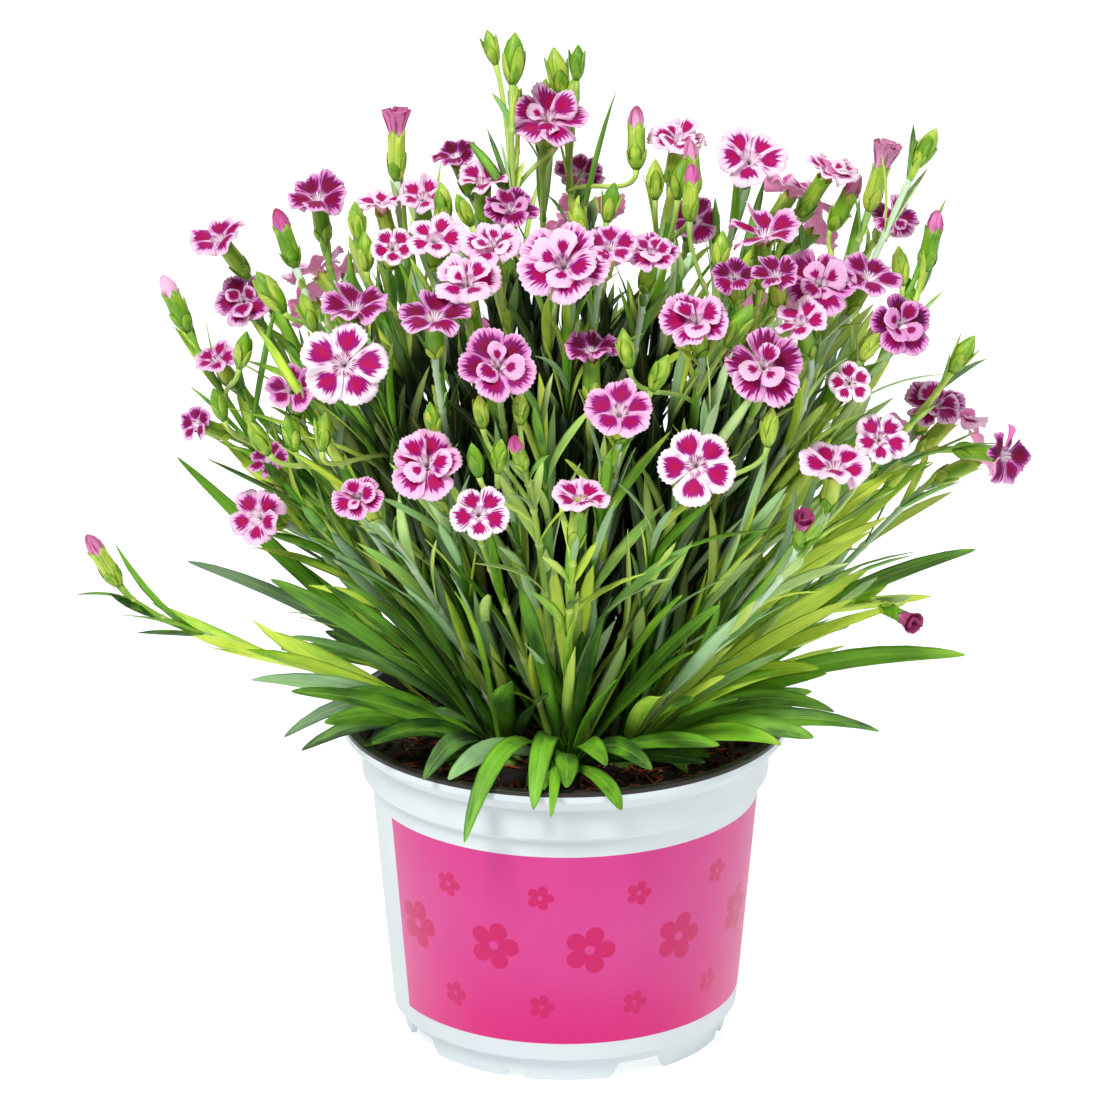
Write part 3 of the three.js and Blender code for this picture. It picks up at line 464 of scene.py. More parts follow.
# Where each root starts, the tip on the sheet and its depth, the arch and the width.
LONG_LEAVES = [
    (0, -24, 0, 78, -62, 14, 8), (-3, -24, -8, 72, -64, 22, 7.2), (-6, -22, -26, 63, -68, 34, 6.6),
    (-9, -22, -31, 80, -60, 20, 7), (-12, -20, -38, 80, -56, 18, 6.6),
    (5, -23, 12, 84, -54, 14, 7), (10, -23, 24, 83, -52, 14, 6.6), (16, -17, 57, 89, -42, 10, 8),
    (17, -15, 66, 91, -40, 12, 7), (20, -12, 84, 93, -34, 14, 7), (20, -8, 72, 98, -14, 18, 6),
    (22, -3, 68, 110, -10, 12, 6), (22, 0, 107, 114, 0, 16, 6.2), (22, 5, 110, 141, 10, 14, 5.4),
    (22, 8, 97, 165, 16, 6, 6), (-14, -18, -64, 95, -36, 12, 7), (-16, -17, -52, 90, -46, 12, 8.6),
    (-18, -14, -75, 91, -24, 26, 5), (-20, -12, -84, 107, -22, 12, 6.4),
    (-20, -10, -62, 103, -30, 10, 7), (-22, -4, -79, 134, -12, 8, 6.6),
    (-22, 2, -104, 166, 6, -4, 5.2), (-22, 0, -101, 139, 0, 14, 4.6),
]

# %% [markdown]
# ## The rules of growth
#
# A head on the front of the plant is planned one by one, and the heads at the back by a golden turn.
# All of them stand on an egg-shaped dome and lean out from the nearest of eight rooted tufts.
# Each rule has its own seeded stream of numbers, which gives the same draws as the model had.

# %% Shared sizes and the stream of numbers
SOIL_TOP = 80
# A rooted plant's neck, and how far from its middle the stems may start.
NECK_RADIUS, NECK_SLOTS = 5.2, 4.1
# The petals stand this far over the calyx, and pieces keep this far apart.
THROAT, CLEARANCE = 1.9, 0.35
# The height of the dome's middle, and its half sizes.
DOME = {"middle": 90, "across": 112, "deep": 100, "high": 165}
BACK = {"groups": 6, "first": 20, "last": 160, "golden": 0.618, "low": 150, "high": 228,
        "deep": 84, "across": 17, "ring": 9.6}
# A plant's foot stands at this share of the way out to its flower.
SPREAD = 0.22
# The sheet's own height at the point that the eye looks at.
SHEET_MIDDLE = 138.8
# Where the stream of numbers starts for each kind of piece.
STREAMS = {"stem": 1000, "long leaf": 4000, "petals": 5000, "basal leaf": 6000, "flower": 9000,
           "stem leaf": 20000, "strap": 40000}
TUFTS = [Vector((0, 0, SOIL_TOP))] + [
    Vector((20 * math.cos(turn), 20 * math.sin(turn), SOIL_TOP))
    for turn in (math.radians(12 + 360 * i / 7) for i in range(7))]
WORD = 0xFFFFFFFF


def seeded(seed):
    state = seed & WORD

    def draw():
        nonlocal state
        state = (state + 0x6D2B79F5) & WORD
        mixed = (state ^ (state >> 15)) * (state | 1) & WORD
        mixed ^= (mixed + ((mixed ^ (mixed >> 7)) * (mixed | 61) & WORD)) & WORD
        return ((mixed ^ (mixed >> 14)) & WORD) / (WORD + 1)

    return draw


# %% Places on the dome
def sight_line(x, s):
    on_sheet = Vector((x, 0, EYE_TARGET.z)) + (s - SHEET_MIDDLE) * SHEET_UP
    return (on_sheet - EYE).normalized()


def seat(x, s, into):
    """The point behind (x, s) on the sheet that lies `into` of the way through the dome."""
    size = Vector((DOME["across"], DOME["deep"], DOME["high"]))
    line = sight_line(x, s)
    start = Vector([(a - b) / c for a, b, c in zip(EYE, (0, 0, DOME["middle"]), size)])
    way = Vector([a / c for a, c in zip(line, size)])
    a, b = way.dot(way), start.dot(way)
    half = math.sqrt(max(0, b * b - a * (start.dot(start) - 1)))
    return EYE + line * ((-b + (2 * into - 1) * half) / a)


def reach(x, s, y):
    """The point behind (x, s) on the sheet that stands at the depth y."""
    line = sight_line(x, s)
    return EYE + line * ((y - EYE.y) / line.y)


def facing(right, up):
    """The way that leans this much to the right and up the sheet, and otherwise to the eye."""
    rest = math.sqrt(max(0, 1 - right * right - up * up))
    return (Vector((right, 0, 0)) + up * SHEET_UP - rest * SIGHT).normalized()


def nearest_tuft(x, y):
    return min(range(len(TUFTS)), key=lambda i: math.hypot(TUFTS[i].x - x, TUFTS[i].y - y))


# %% Every head, planned or by rule
def planned_head(row):
    kind, x, s, size, right, up, into, whorls, *joined = row
    return {
        "kind": kind, "spot": (x, s), "size": size, "whorls": whorls, "joined": bool(joined),
        "axis": facing(right, up),
        "place_at": lambda shift: seat(x, s, into) + shift * SIGHT,
        "slide_at": lambda gap, before: reach(x, s, before.y + gap),
    }


def back_head(middle, out, offset, i):
    def slide_at(gap, before):
        return middle + BACK["ring"] * offset + ((before - middle).dot(out) + gap) * out

    return {
        "kind": "open", "spot": None, "size": BACK["across"] + 2 * i - 2,
        "whorls": 1 + (i == 1), "joined": i > 0,
        "axis": (Vector((out.x, out.y, 0.75)) + 0.35 * offset).normalized(),
        "place_at": lambda shift: middle + BACK["ring"] * offset + shift * out,
        "slide_at": slide_at,
    }


def back_heads():
    for group in range(BACK["groups"]):
        share = group * BACK["golden"] % 1
        turn = math.radians(mix(BACK["first"], BACK["last"], share))
        z = mix(BACK["low"], BACK["high"], (group + 0.5) / BACK["groups"])
        waist = math.sqrt(1 - ((z - DOME["middle"]) / DOME["high"]) ** 2)
        out = level_way(turn)
        middle = Vector((out.x * DOME["across"] * waist, out.y * BACK["deep"] * waist, z))
        aside = Vector((-out.y, out.x, 0))
        for i in range(3):
            angle = 2 * math.pi * i / 3 + group
            yield back_head(middle, out, spoke(aside, UP, angle), i)


heads = [planned_head(row) for row in [*CROWN, *MIDDLE, *LOWER, *LEFT, *RIGHT]]
heads += back_heads()
print("heads:", len(heads))

# %% [markdown]
# ## Finding each piece on the model
#
# The rule tried many places for each piece and kept the first that was clear. The script can't
# test that again cheaply, but it doesn't have to: it repeats the tries and keeps the one whose
# points lie on the model's own surface. What doesn't fit the model anywhere is left out.

# %% Surfaces to measure against
FIT = 0.35


def surface_of(names):
    points, faces, owners = [], [], []
    for name in names:
        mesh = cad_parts[name].data
        first = len(points)
        points += [vert.co / MM for vert in mesh.vertices]
        faces += [[first + i for i in face.vertices] for face in mesh.polygons]
        owners += [name] * len(mesh.polygons)
    return BVHTree.FromPolygons(points, faces), owners


def miss(surface, point, depth=0.0):
    """How far a point is from lying `depth` under the surface."""
    return abs(surface[0].find_nearest(point)[3] - depth)


tuft_names = [f"tuft_{i + 1:02d}" for i in range(len(TUFTS))]
bloom_names = sorted(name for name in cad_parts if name.startswith("bloom_"))
tuft_surfaces = [surface_of([name]) for name in tuft_names]
bloom_surface = surface_of(bloom_names)
print("surfaces:", len(tuft_surfaces) + 1)

# %% Stems and what they carry
HEADS = {
    "open": {"length": 13, "rings": [(0.2, 2.2), (1, 2.3)]},
    "cup": {"length": 19, "rings": [(0.12, 2.2), (0.6, 2.4), (1, 4.1)]},
    "tip": {"length": 17, "rings": [(0.14, 2.3), (0.72, 2.5)]},
    "bud": {"length": 12, "rings": [(0.2, 2.2), (0.55, 2.6)]},
}
# The model's stems are square rods, whose flats lie this share of the radius from the middle.
INNER = math.cos(math.pi / 4)
FAR_OFF = 9


def stem_line(start, base, axis, lift, pull):
    span = base - start
    return [start, start + 0.32 * span + lift * UP, base - pull * span.length * axis, base]


def on_curve(line, t):
    a, b, c, d = line
    s = 1 - t
    return s * s * s * a + 3 * s * s * t * b + 3 * s * t * t * c + t * t * t * d


def on_steps(line, t, steps=3):
    """A point on the model's stem, which is straight from one of its steps to the next."""
    step = min(int(t * steps), steps - 1)
    first = on_curve(line, step / steps)
    return first.lerp(on_curve(line, (step + 1) / steps), t * steps - step)


# %% Where a flower's petals turn and tilt
def petal_tilts(draw, cup, petals):
    return [cup + 0.3 * (draw() - 0.5) for _ in range(petals)]


def flower_plan(head, number):
    """The turn and the tilt of every petal, drawn in the model's own order."""
    draw = seeded(STREAMS["flower"] + number)
    spin = 2 * math.pi * draw()
    cup = 0.1 if head["whorls"] > 1 else 0.2
    outer = petal_tilts(draw, cup, 5)
    inner = petal_tilts(draw, 0.95, head["whorls"] + 1) if head["whorls"] > 1 else []
    return spin, outer, inner


def flower_sides(axis):
    side = Vector((1, 0, 0))
    if abs(axis.z) <= 0.98:
        side = Vector((-axis.y, axis.x, 0)).normalized()
    return side, axis.cross(side)


def flower_miss(head, place):
    """How far the model's petals are from a flower at this place: the mean of its best four."""
    spin, outer, _ = head["plan"]
    radius = head["size"] / 2
    share, lift = (0.9, 0.02) if head["size"] >= 22 else (1, 0)
    side, up = flower_sides(head["axis"])
    misses = []
    for i, tilt in enumerate(outer):
        r = share * radius
        out = spoke(side, up, spin + 2 * math.pi * i / 5)
        misses.append(miss(bloom_surface, place + r * out + (r * tilt + lift * radius) * head["axis"]))
    return sum(sorted(misses)[:4]) / 4


# %% The places that are tried again
def stem_tries(number):
    for k in range(90):
        draw = seeded(STREAMS["stem"] + number * 200 + k)
        loose = min(1, k / 8)
        shift = 30 * loose * (draw() - 0.5)
        lift = 8 + 50 * loose * (draw() - 0.5)
        yield shift, lift, 0.2 + 0.3 * loose * (draw() - 0.5)


def flower_places(head, number, before):
    yield from (head["place_at"](shift) for shift, _, _ in stem_tries(number))
    if head["joined"]:
        for nudge in (0, 0.1, 0.2, 0.3, 0.4, 0.5):
            for step in range(22):
                for side in (1, -1):
                    gap = side * (15 - 0.75 * step)
                    yield head["slide_at"](gap, before).lerp(before, nudge)


# %% The stem that fits
def stem_miss(line, axis, kind, scale, surface):
    """Tests the stem's middle line, and the head's, at the depth that they have in the model."""
    misses = [miss(surface, on_curve(line, t), mix(0.95, 0.75, t) * INNER) for t in (1 / 3, 2 / 3)]
    (low, radius), (high, _) = HEADS[kind]["rings"][:2]
    point = line[3] + mix(low, high, 0.15) * HEADS[kind]["length"] * scale * axis
    misses.append(0.5 * miss(surface, point, radius * scale * INNER))
    return sum(misses) / 3


def find_stem(head, number, place):
    opened = head["kind"] == "open"
    scale = mix(0.72, 1, min(1, head["size"] / 20)) if opened else head["size"]
    back = HEADS["open"]["length"] * scale + THROAT + CLEARANCE if opened else 0
    best = (FAR_OFF, None)
    for shift, lift, pull in stem_tries(number):
        at = place if opened else head["place_at"](shift)
        base = at - back * head["axis"]
        tuft = nearest_tuft(SPREAD * at.x, SPREAD * at.y)
        out = Vector((SPREAD * base.x - TUFTS[tuft].x, SPREAD * base.y - TUFTS[tuft].y, 0)) * 0.45
        out *= min(1, NECK_SLOTS / max(out.length, 1e-6))
        line = stem_line(TUFTS[tuft] + out + UP, base, head["axis"], lift, pull)
        off = stem_miss(line, head["axis"], head["kind"], scale, tuft_surfaces[tuft])
        if off < best[0]:
            best = (off, {"tuft": tuft, "line": line, "scale": scale, "place": at})
    return best


# %% Every head and its stem
stems, lost = [], []
before = Vector((0, 0, 0))
for number, head in enumerate(heads):
    place = None
    if head["kind"] == "open":
        head["plan"] = flower_plan(head, number)
        tries = [(flower_miss(head, at), at) for at in flower_places(head, number, before)]
        off, place = min(tries, key=lambda found: found[0])
        if off > FIT:
            lost.append(("flower", number, round(off, 2)))
            continue
        before = place
        head["place"] = place
        head["node"] = bloom_surface[1][bloom_surface[0].find_nearest(place)[2]]
    off, stem = find_stem(head, number, place)
    if off > FIT:
        lost.append(("stem", number, round(off, 2)))
        continue
    stems.append({**stem, "number": number, "head": head})
print("stems found:", len(stems), "lost:", lost)

# %% Side buds, found in the same way
FORKS = (0.6, 0.67, 0.75, 0.83)


def find_side_bud(row):
    kind, x, s, size, right, up, into = row
    axis = facing(right, up)
    length = HEADS[kind]["length"] * size
    hosts = [(stem, on_steps(stem["line"], t)) for stem in stems for t in FORKS]
    best = (FAR_OFF, None)
    for k in range(14):
        base = seat(x, s, into) + 2.5 * k * (1 if k % 2 else -1) * SIGHT
        hosts.sort(key=lambda h: (h[1] - base).length + (60 if h[1].z > base.z - 8 else 0))
        for stem, point in hosts[:9]:
            line = stem_line(point, base, axis, 2, 0.3)
            surface = tuft_surfaces[stem["tuft"]]
            off = miss(surface, base + length * axis) + miss(surface, on_curve(line, 0.5), 0.34)
            if off < best[0]:
                best = (off, {"tuft": stem["tuft"], "line": line, "scale": size, "kind": kind,
                              "axis": axis})
    return best


shoots = []
for number, row in enumerate(SIDE_BUDS):
    off, shoot = find_side_bud(row)
    if off > 2 * FIT:
        lost.append(("side bud", number, round(off, 2)))
        continue
    shoots.append(shoot)
print("side buds found:", len(shoots), "of", len(SIDE_BUDS))

# %% Leaves, found by their tip and their middle line
# How far along its middle line a leaf of each kind is tested, besides at its tip.
STATIONS = {"short": (0.4, 0.78), "basal": (0.36, 0.72), "long": (0.3, 0.6, 0.85)}
STRAPS = 22
BASAL_LEAVES, MIDDLE_BASAL_LEAVES = 8, 4


def on_arch(arch, t):
    root, bend, tip = arch
    return (1 - t) * (1 - t) * root + 2 * t * (1 - t) * bend + t * t * tip


def leaf_miss(arch, tuft, stations):
    surface = tuft_surfaces[tuft]
    return sum(miss(surface, on_arch(arch, t)) for t in (*stations, 1)) / (len(stations) + 1)


def best_leaf(tries, tuft, stations):
    """The try whose middle line lies on the model; a strap's tries name their own tufts."""
    tries = [{"tuft": tuft, **leaf} for leaf in tries]
    misses = [leaf_miss(leaf["arch"], leaf["tuft"], stations) for leaf in tries]
    best = misses.index(min(misses))
    return tries[best] if misses[best] < FIT else None


# %% Tries for the long leaves and the straps
def long_leaf_tries(row, number, neck):
    _, _, x, s, y, arch, width = row
    for k in range(30):
        draw = seeded(STREAMS["long leaf"] + number * 40 + k)
        loose = min(1, k / 10)
        tip = reach(x, s, y + 24 * loose * (draw() - 0.5))
        out = Vector((tip.x - neck.x, tip.y - neck.y, 0)).normalized()
        root = neck + (NECK_RADIUS - 2) * out + 1.2 * UP
        bend = root.lerp(tip, 0.5) + arch * (1 + loose * (draw() - 0.4)) * UP
        azimuth = math.atan2(tip.y - root.y, tip.x - root.x)
        yield {"arch": (root, bend, tip), "width": width, "azimuth": azimuth, "kind": "long"}


def strap_tries(number):
    for k in range(20):
        draw = seeded(STREAMS["strap"] + number * 40 + k)
        x = mix(-66, 94, (number + draw()) / STRAPS)
        s = mix(98, 150, draw())
        tip = reach(x, s, mix(-52, 4, draw()) * math.sqrt(1 - (x / 115) ** 2))
        width = mix(4, 5.8, draw())
        tuft = nearest_tuft(SPREAD * tip.x, SPREAD * tip.y)
        neck = TUFTS[tuft]
        aside = Vector((tip.x - neck.x, tip.y - neck.y, 0))
        root = neck + (NECK_RADIUS - 2) * aside.normalized() + 1.4 * UP
        bend = root + 0.34 * aside + 0.62 * (tip.z - root.z) * UP
        yield {"arch": (root, bend, tip), "width": width, "kind": "strap", "tuft": tuft,
               "azimuth": math.atan2(aside.y, aside.x)}


# %% Tries for the low leaves and for those on the stems
def basal_leaf_tries(tuft, number):
    neck = TUFTS[tuft]
    outward = math.atan2(neck.y, neck.x)
    spread = 1.5 if tuft else math.pi
    for k in range(24):
        draw = seeded(STREAMS["basal leaf"] + tuft * 700 + number * 30 + k)
        azimuth = outward + spread * (2 * draw() - 1)
        climb = mix(0.05, 1, draw())
        length = mix(38, 82, draw())
        width = mix(5.2, 8, draw())
        out = level_way(azimuth)
        root = neck + (NECK_RADIUS - 2) * out + (0.8 + 1.4 * draw()) * UP
        way = math.cos(climb) * out + math.sin(climb) * UP
        bend = root + 0.5 * length * way + 0.16 * length * UP
        tip = root + length * way + 0.04 * length * UP
        yield {"arch": (root, bend, tip), "width": width, "azimuth": azimuth, "kind": "basal"}


def stem_leaf_tries(stem, level, side_turn):
    number, t = stem["number"], (level + 1) / 3
    for k in range(6):
        draw = seeded(STREAMS["stem leaf"] + number * 100 + level * 40 + side_turn * 20 + k)
        if k == 0 and draw() > 0.12:
            return
        root = on_steps(stem["line"], t)
        way = (on_curve(stem["line"], t + 1e-4) - on_curve(stem["line"], t - 1e-4)).normalized()
        azimuth = number * 2.4 + level * 1.57 + side_turn * math.pi + 1.2 * (draw() - 0.5)
        length = (42, 26)[level] * mix(0.75, 1.2, draw())
        out = level_way(azimuth)
        lean = (way + 0.5 * out).normalized()
        tip = root + length * lean + 0.2 * length * out
        arch = (root, root + 0.5 * length * lean, tip)
        yield {"arch": arch, "width": (3.6, 2.8)[level], "azimuth": azimuth, "kind": "short"}


# %% Every leaf that fits
leaves = []
for number, row in enumerate(LONG_LEAVES):
    tuft = nearest_tuft(row[0], row[1])
    leaves.append(best_leaf(long_leaf_tries(row, number, TUFTS[tuft]), tuft, STATIONS["long"]))
for number in range(STRAPS):
    leaves.append(best_leaf(strap_tries(number), None, STATIONS["basal"]))
long_found = sum(leaf is not None for leaf in leaves)
for tuft in range(len(TUFTS)):
    for number in range(BASAL_LEAVES if tuft else MIDDLE_BASAL_LEAVES):
        leaves.append(best_leaf(basal_leaf_tries(tuft, number), tuft, STATIONS["basal"]))
basal_found = sum(leaf is not None for leaf in leaves) - long_found
for stem in stems:
    stem["bare"] = []
    for level in (0, 1):
        for side_turn in (0, 1):
            tries = list(stem_leaf_tries(stem, level, side_turn))
            leaf = best_leaf(tries, stem["tuft"], STATIONS["short"]) if tries else None
            leaves.append(leaf)
            if leaf is None:
                stem["bare"].append((level, side_turn))
leaves = [leaf for leaf in leaves if leaf]
print("leaves: long and straps", long_found, "basal", basal_found, "on stems",
      len(leaves) - long_found - basal_found)

# %% [markdown]
# ## Green finishes
#
# A carnation's leaves are smooth, waxy and a little fleshy, with one pale rib. Their green runs
# from deep to yellow, and some are bluish with wax, so each leaf carries its own shares of those.
# The same wax sits on the stems, which pale at each joint. Calyces are yellower, with dark ribs.

# %% Leaf finish, with painted shade inside the bush
def painted_inner_shade(look):
    """Painted shade: how deep inside the bush a point lies, where little light comes in."""
    _, (x, y, z) = look.place()
    aside = y * 1.25
    r = look.math("SQRT", x * x + aside * aside)
    widening = look.ramp(z, 0.085, 0.19, 0.028, 0.1)
    closing = look.ramp(z, 0.175, 0.215, 0.1, 0.012)
    envelope = look.math("MINIMUM", widening, closing)
    return look.step(r / envelope, 0.82, 0.54) * 0.95


def leaf_finish():
    look = Finish("leaf_blade", 0.4, Specular_IOR_Level=0.32)
    u, v = look.sheet()
    bright, waxy, shade, own = look.tone()
    fibres = look.noise(look.vector(u * 34, v * 2), 1, 2, own * 30)
    patches = look.noise(look.vector(u * 3, v * 5), 1, 3, own * 60)
    share = bright + (patches - 0.5) * 0.9
    colour = look.mix(look.step(share, 0, 0.45), "163F04", "76B822")
    colour = look.mix(look.step(share, 0.4, 0.9), colour, "D8F254")
    colour = look.mix(waxy * 0.85, colour, "B8DEB2")
    colour = look.mix(look.step(v, 0.2, 0.0), colour, "D6E272")
    # Painted shade: the leaf's shade share and its depth in the bush darken it to near black.
    colour = look.mix(shade * 0.92, colour, "061A02")
    colour = look.mix(painted_inner_shade(look), colour, "061A02")
    rib = look.step(abs(u - 0.25), 0.03, 0.008)
    colour = look.mix(rib * 0.16, colour, "BFD873")
    colour = look.mix(look.step(fibres, 0.45, 0.8) * 0.34, colour, "245808")
    return look.done(colour, fibres, 0.45)


# %% Stem and calyx finishes
def stem_finish():
    look = Finish("stem_skin", 0.5, Specular_IOR_Level=0.35)
    u, v = look.sheet()
    bright, waxy, joint, own = look.tone()
    streaks = look.noise(look.vector(u * 9, v * 12), 1, 2, own * 20)
    colour = look.mix(bright, "4A8A16", "CCE658")
    colour = look.mix(waxy, colour, "CCE6D0")
    colour = look.mix(look.step(streaks, 0.4, 0.75) * 0.35, colour, "2C6418")
    colour = look.mix(joint, colour, "DCE59A")
    # Painted shade, near black deep inside the bush.
    colour = look.mix(painted_inner_shade(look), colour, "0A2203")
    return look.done(colour, streaks, 0.2)


def calyx_finish():
    look = Finish("calyx_and_bracts", 0.42, Specular_IOR_Level=0.4)
    u, v = look.sheet()
    bright, _, _, own = look.tone()
    ribs = look.noise(look.vector(u * 30, v * 1.5), 1, 1, own * 40)
    patches = look.noise(look.vector(u * 4, v * 4), 1, 2, own * 10)
    share = bright * 0.6 + (patches - 0.35)
    colour = look.mix(look.step(share, -0.1, 0.45), "265A08", "6FA31A")
    colour = look.mix(look.step(share, 0.3, 0.8), colour, "C0D350")
    colour = look.mix(look.step(v, 0.35, 0.05), colour, "4F8F16")
    colour = look.mix(look.step(ribs, 0.45, 0.7) * 0.5, colour, "3F7D12")
    rim = look.step(abs(look.math("FRACT", u + 0.5) - 0.5), 0.1, 0.02)
    colour = look.mix(rim * 0.35, colour, "3A7412")
    return look.done(colour, ribs, 0.3)


# %% [markdown]
# ## Petal finishes
#
# The flower's face is what makes this kind: a magenta to crimson patch on each petal, feathered
# at its outer end where the colour runs out along the veins, inside a pale toothed margin, and
# white streaks at the throat. The map's v runs from the throat to the edge, and its u across.
# Each flower's own shares say how large the patch is, how white the margin and how dark the eye.
# Light comes through a petal, which is too thin to model, so the backs glow a little instead.

# %% Petal faces
def petal_face():
    look = Finish("petal_face", 0.6, Specular_IOR_Level=0.15)
    u, v = look.sheet()
    patch_size, white, dark, own = look.tone()
    seed = own * 50
    rays = look.noise(look.vector(u * 17, v * 1.5), 1, 3, seed) - 0.5
    veins = look.noise(look.vector(u * 30, v * 1.2), 1, 2, seed)
    centre = look.math("MINIMUM", patch_size, 0) * 0.25 + 0.5
    long_way = (v - centre) / (patch_size * 0.16 + 0.23)
    wide_way = abs(u * 2 - 1) / (patch_size * 0.35 + (v * 0.75 + 0.22))
    spread = look.math("SQRT", long_way * long_way + wide_way * wide_way)
    ragged = spread + rays * (v * 3.0 + 0.1)
    patch, halo = look.step(ragged, 1.08, 0.9), look.step(ragged, 1.4, 0.95)
    margin = look.mix(white, "DC96CA", "F6E9F1")
    margin = look.mix(dark * 0.75, margin, "B04FA2")
    margin = look.mix(look.step(veins, 0.45, 0.75) * 0.35, margin, "C459A2")
    margin = look.mix(halo * 0.6, margin, "B83A98")
    # A paler rim along the petal's very edge: a painted highlight.
    edge = look.step(v + rays * 0.3, 0.86, 1.0)
    margin = look.mix(edge * 0.3, margin, "F9E2F0")
    eye = look.mix(dark, "AA004A", "560022")
    purple = look.mix(dark, "900874", "680A58")
    outer = look.step(ragged + rays * 0.6, 0.35, 0.85)
    eye = look.mix(outer, eye, purple)
    eye = look.mix(look.step(veins, 0.5, 0.8) * 0.4, eye, "7E0646")
    colour = look.mix(patch, margin, eye)
    streak = look.step(rays + v * 1.1, 0.12, 0.3)
    throat = look.mix(streak, "F6E6EE", eye)
    colour = look.mix(look.step(v, 0.34, 0.2), colour, throat)
    return look.done(colour, veins, 0.3)


# %% Petal backs and rolled petals
def petal_back():
    look = Finish("petal_back", 0.6, Specular_IOR_Level=0.25,
                  Emission_Color=(0.95, 0.22, 0.56, 1), Emission_Strength=0.22)
    u, v = look.sheet()
    _, white, dark, own = look.tone()
    veins = look.noise(look.vector(u * 24, v * 1.3), 1, 2, own * 50)
    colour = look.mix(white, "E87CC2", "F6BEE0")
    colour = look.mix(dark * 0.5, colour, "C452A4")
    colour = look.mix(look.step(veins, 0.45, 0.75) * 0.35, colour, "C964A6")
    colour = look.mix(look.step(v, 0.3, 0.08), colour, "F6DCE6")
    return look.done(colour, veins, 0.3)


def rolled_petals():
    look = Finish("rolled_petals", 0.5, Specular_IOR_Level=0.35)
    u, v = look.sheet()
    _, white, dark, own = look.tone()
    folds = look.noise(look.vector(u * 9, v * 1.2), 1, 2, own * 50)
    colour = look.mix(white, "CF5AA4", "F0BEDC")
    colour = look.mix(look.step(folds, 0.5, 0.66) * 0.8, colour, "9C1268")
    colour = look.mix(dark * look.step(v, 0.3, 0.9), colour, "8E0F4C")
    colour = look.mix(look.step(v, 0.45, 0.1), colour, "F4E6E2")
    return look.done(colour, folds, 0.3)


# %% The finishes of a tuft and of its petals
GREENS = [leaf_finish(), stem_finish(), calyx_finish(), rolled_petals()]
LEAF, STEM, CALYX, ROLLED = range(4)
PETALS = [petal_face(), petal_back()]

# %% [markdown]
# ## Leaves
#
# A real leaf is a thin waxy blade, creased along its rib, widest past the middle, and drawn to a
# point. Each one is rolled from a grid into a flat closed section and laid on the arch that was
# found for it. Rows crowd at the root and the tip, where the outline turns most.

# %% One leaf
def leaf_share(t):
    if t < 0.6:
        return mix(0.36, 1, math.sin(math.pi * t / 1.2))
    return max(0, 1 - ((t - 0.6) / 0.4) ** 2.3) ** 0.62


def blade_skin(bm, arch, width, level, material, tone, share=leaf_share, rows=11, columns=8,
               thickness=0.7, fold=0.22, wave=0.0, phase=0.0, roll=0.0, twist=0.0, sway=0.0):
    """A closed blade on its arch: creased by `fold`, rippled by `wave` and turned by `roll`."""
    stops = [0] + [(k / rows) ** 1.1 for k in range(rows)] + [0.955, 0.988, 1]
    root, bend, tip = arch

    def place(u, v):
        k = round(v * (len(stops) - 1))
        t = stops[k]
        closed = 0 if k in (0, len(stops) - 1) else 1
        way = (mix(bend, tip, t) - mix(root, bend, t)).normalized()
        side = Matrix.Rotation(roll + twist * t * t, 3, way) @ level
        up = way.cross(side).normalized()
        half = closed * width / 2 * share(t)
        across, lift = math.cos(2 * math.pi * u), math.sin(2 * math.pi * u)
        depth = closed * thickness / 2 * min(1, 0.5 + 2 * t) * (lift * (1 - 0.6 * t) - 0.6)
        ripple = wave * half * across * math.sin(7 * t + phase)
        rise = depth + fold * half * across * across + ripple
        middle = on_arch(arch, t) + sway * math.sin(2.6 * t) * t * level
        return middle + half * across * side + rise * up

    skin(bm, columns, len(stops) - 1, place, material, tone)


# %% A leaf's own colour, and the rosette at the front
LEAF_ROLL = 0.95
tuft_meshes = [new_piece() for _ in TUFTS]
look_draw = seeded(77)


def leaf_tone(leaf):
    """Straps are the brightest and the low leaves deepest. Painted light brightens upright leaves on
    the right side, and painted shade darkens the leaves on the left.
    """
    root, _, tip = leaf["arch"]
    steep = ease((tip.z - root.z) / (tip - root).length, 0.2, 0.9)
    # Painted light: upright leaves on the right side are brightened.
    painted_light = ease(tip.x, 10, 80)
    least, most = {"basal": (0.0, 0.58), "long": (0.0, 0.65)}.get(leaf["kind"], (0.25, 1.0))
    bright = mix(least, most, look_draw()) + 0.35 * steep * painted_light
    bright *= 1 - 0.55 * ease(tip.x, -15, -65)
    waxy = 0.6 * look_draw() if look_draw() < 0.14 else 0.03
    return bright, waxy, 0, look_draw()


def rosette_leaf(number):
    """A short leaf low on the front side. Every fifth one is long and arches over the lip."""
    azimuth = math.radians(mix(-176, -4, (number + look_draw()) / ROSETTE))
    out = level_way(azimuth)
    tuft = nearest_tuft(30 * out.x, 30 * out.y)
    root = TUFTS[tuft] + 3 * out + mix(1, 3, look_draw()) * UP
    azimuth += 0.9 * (look_draw() - 0.5)
    out = level_way(azimuth)
    over = number % 5 == 1
    length = mix(44, 54, look_draw()) if over else mix(16, 27, look_draw())
    rise, drop = (0.42, 0.12) if over else (mix(0.2, 0.6, look_draw()), 0.2 * look_draw())
    arch = (root, root + length * (0.5 * out + rise * UP), root + length * (out + drop * UP))
    return {"arch": arch, "width": mix(4.2, 6.2, look_draw()), "azimuth": azimuth,
            "kind": "basal", "tuft": tuft}


# %% Every leaf of every tuft
ROSETTE = 12
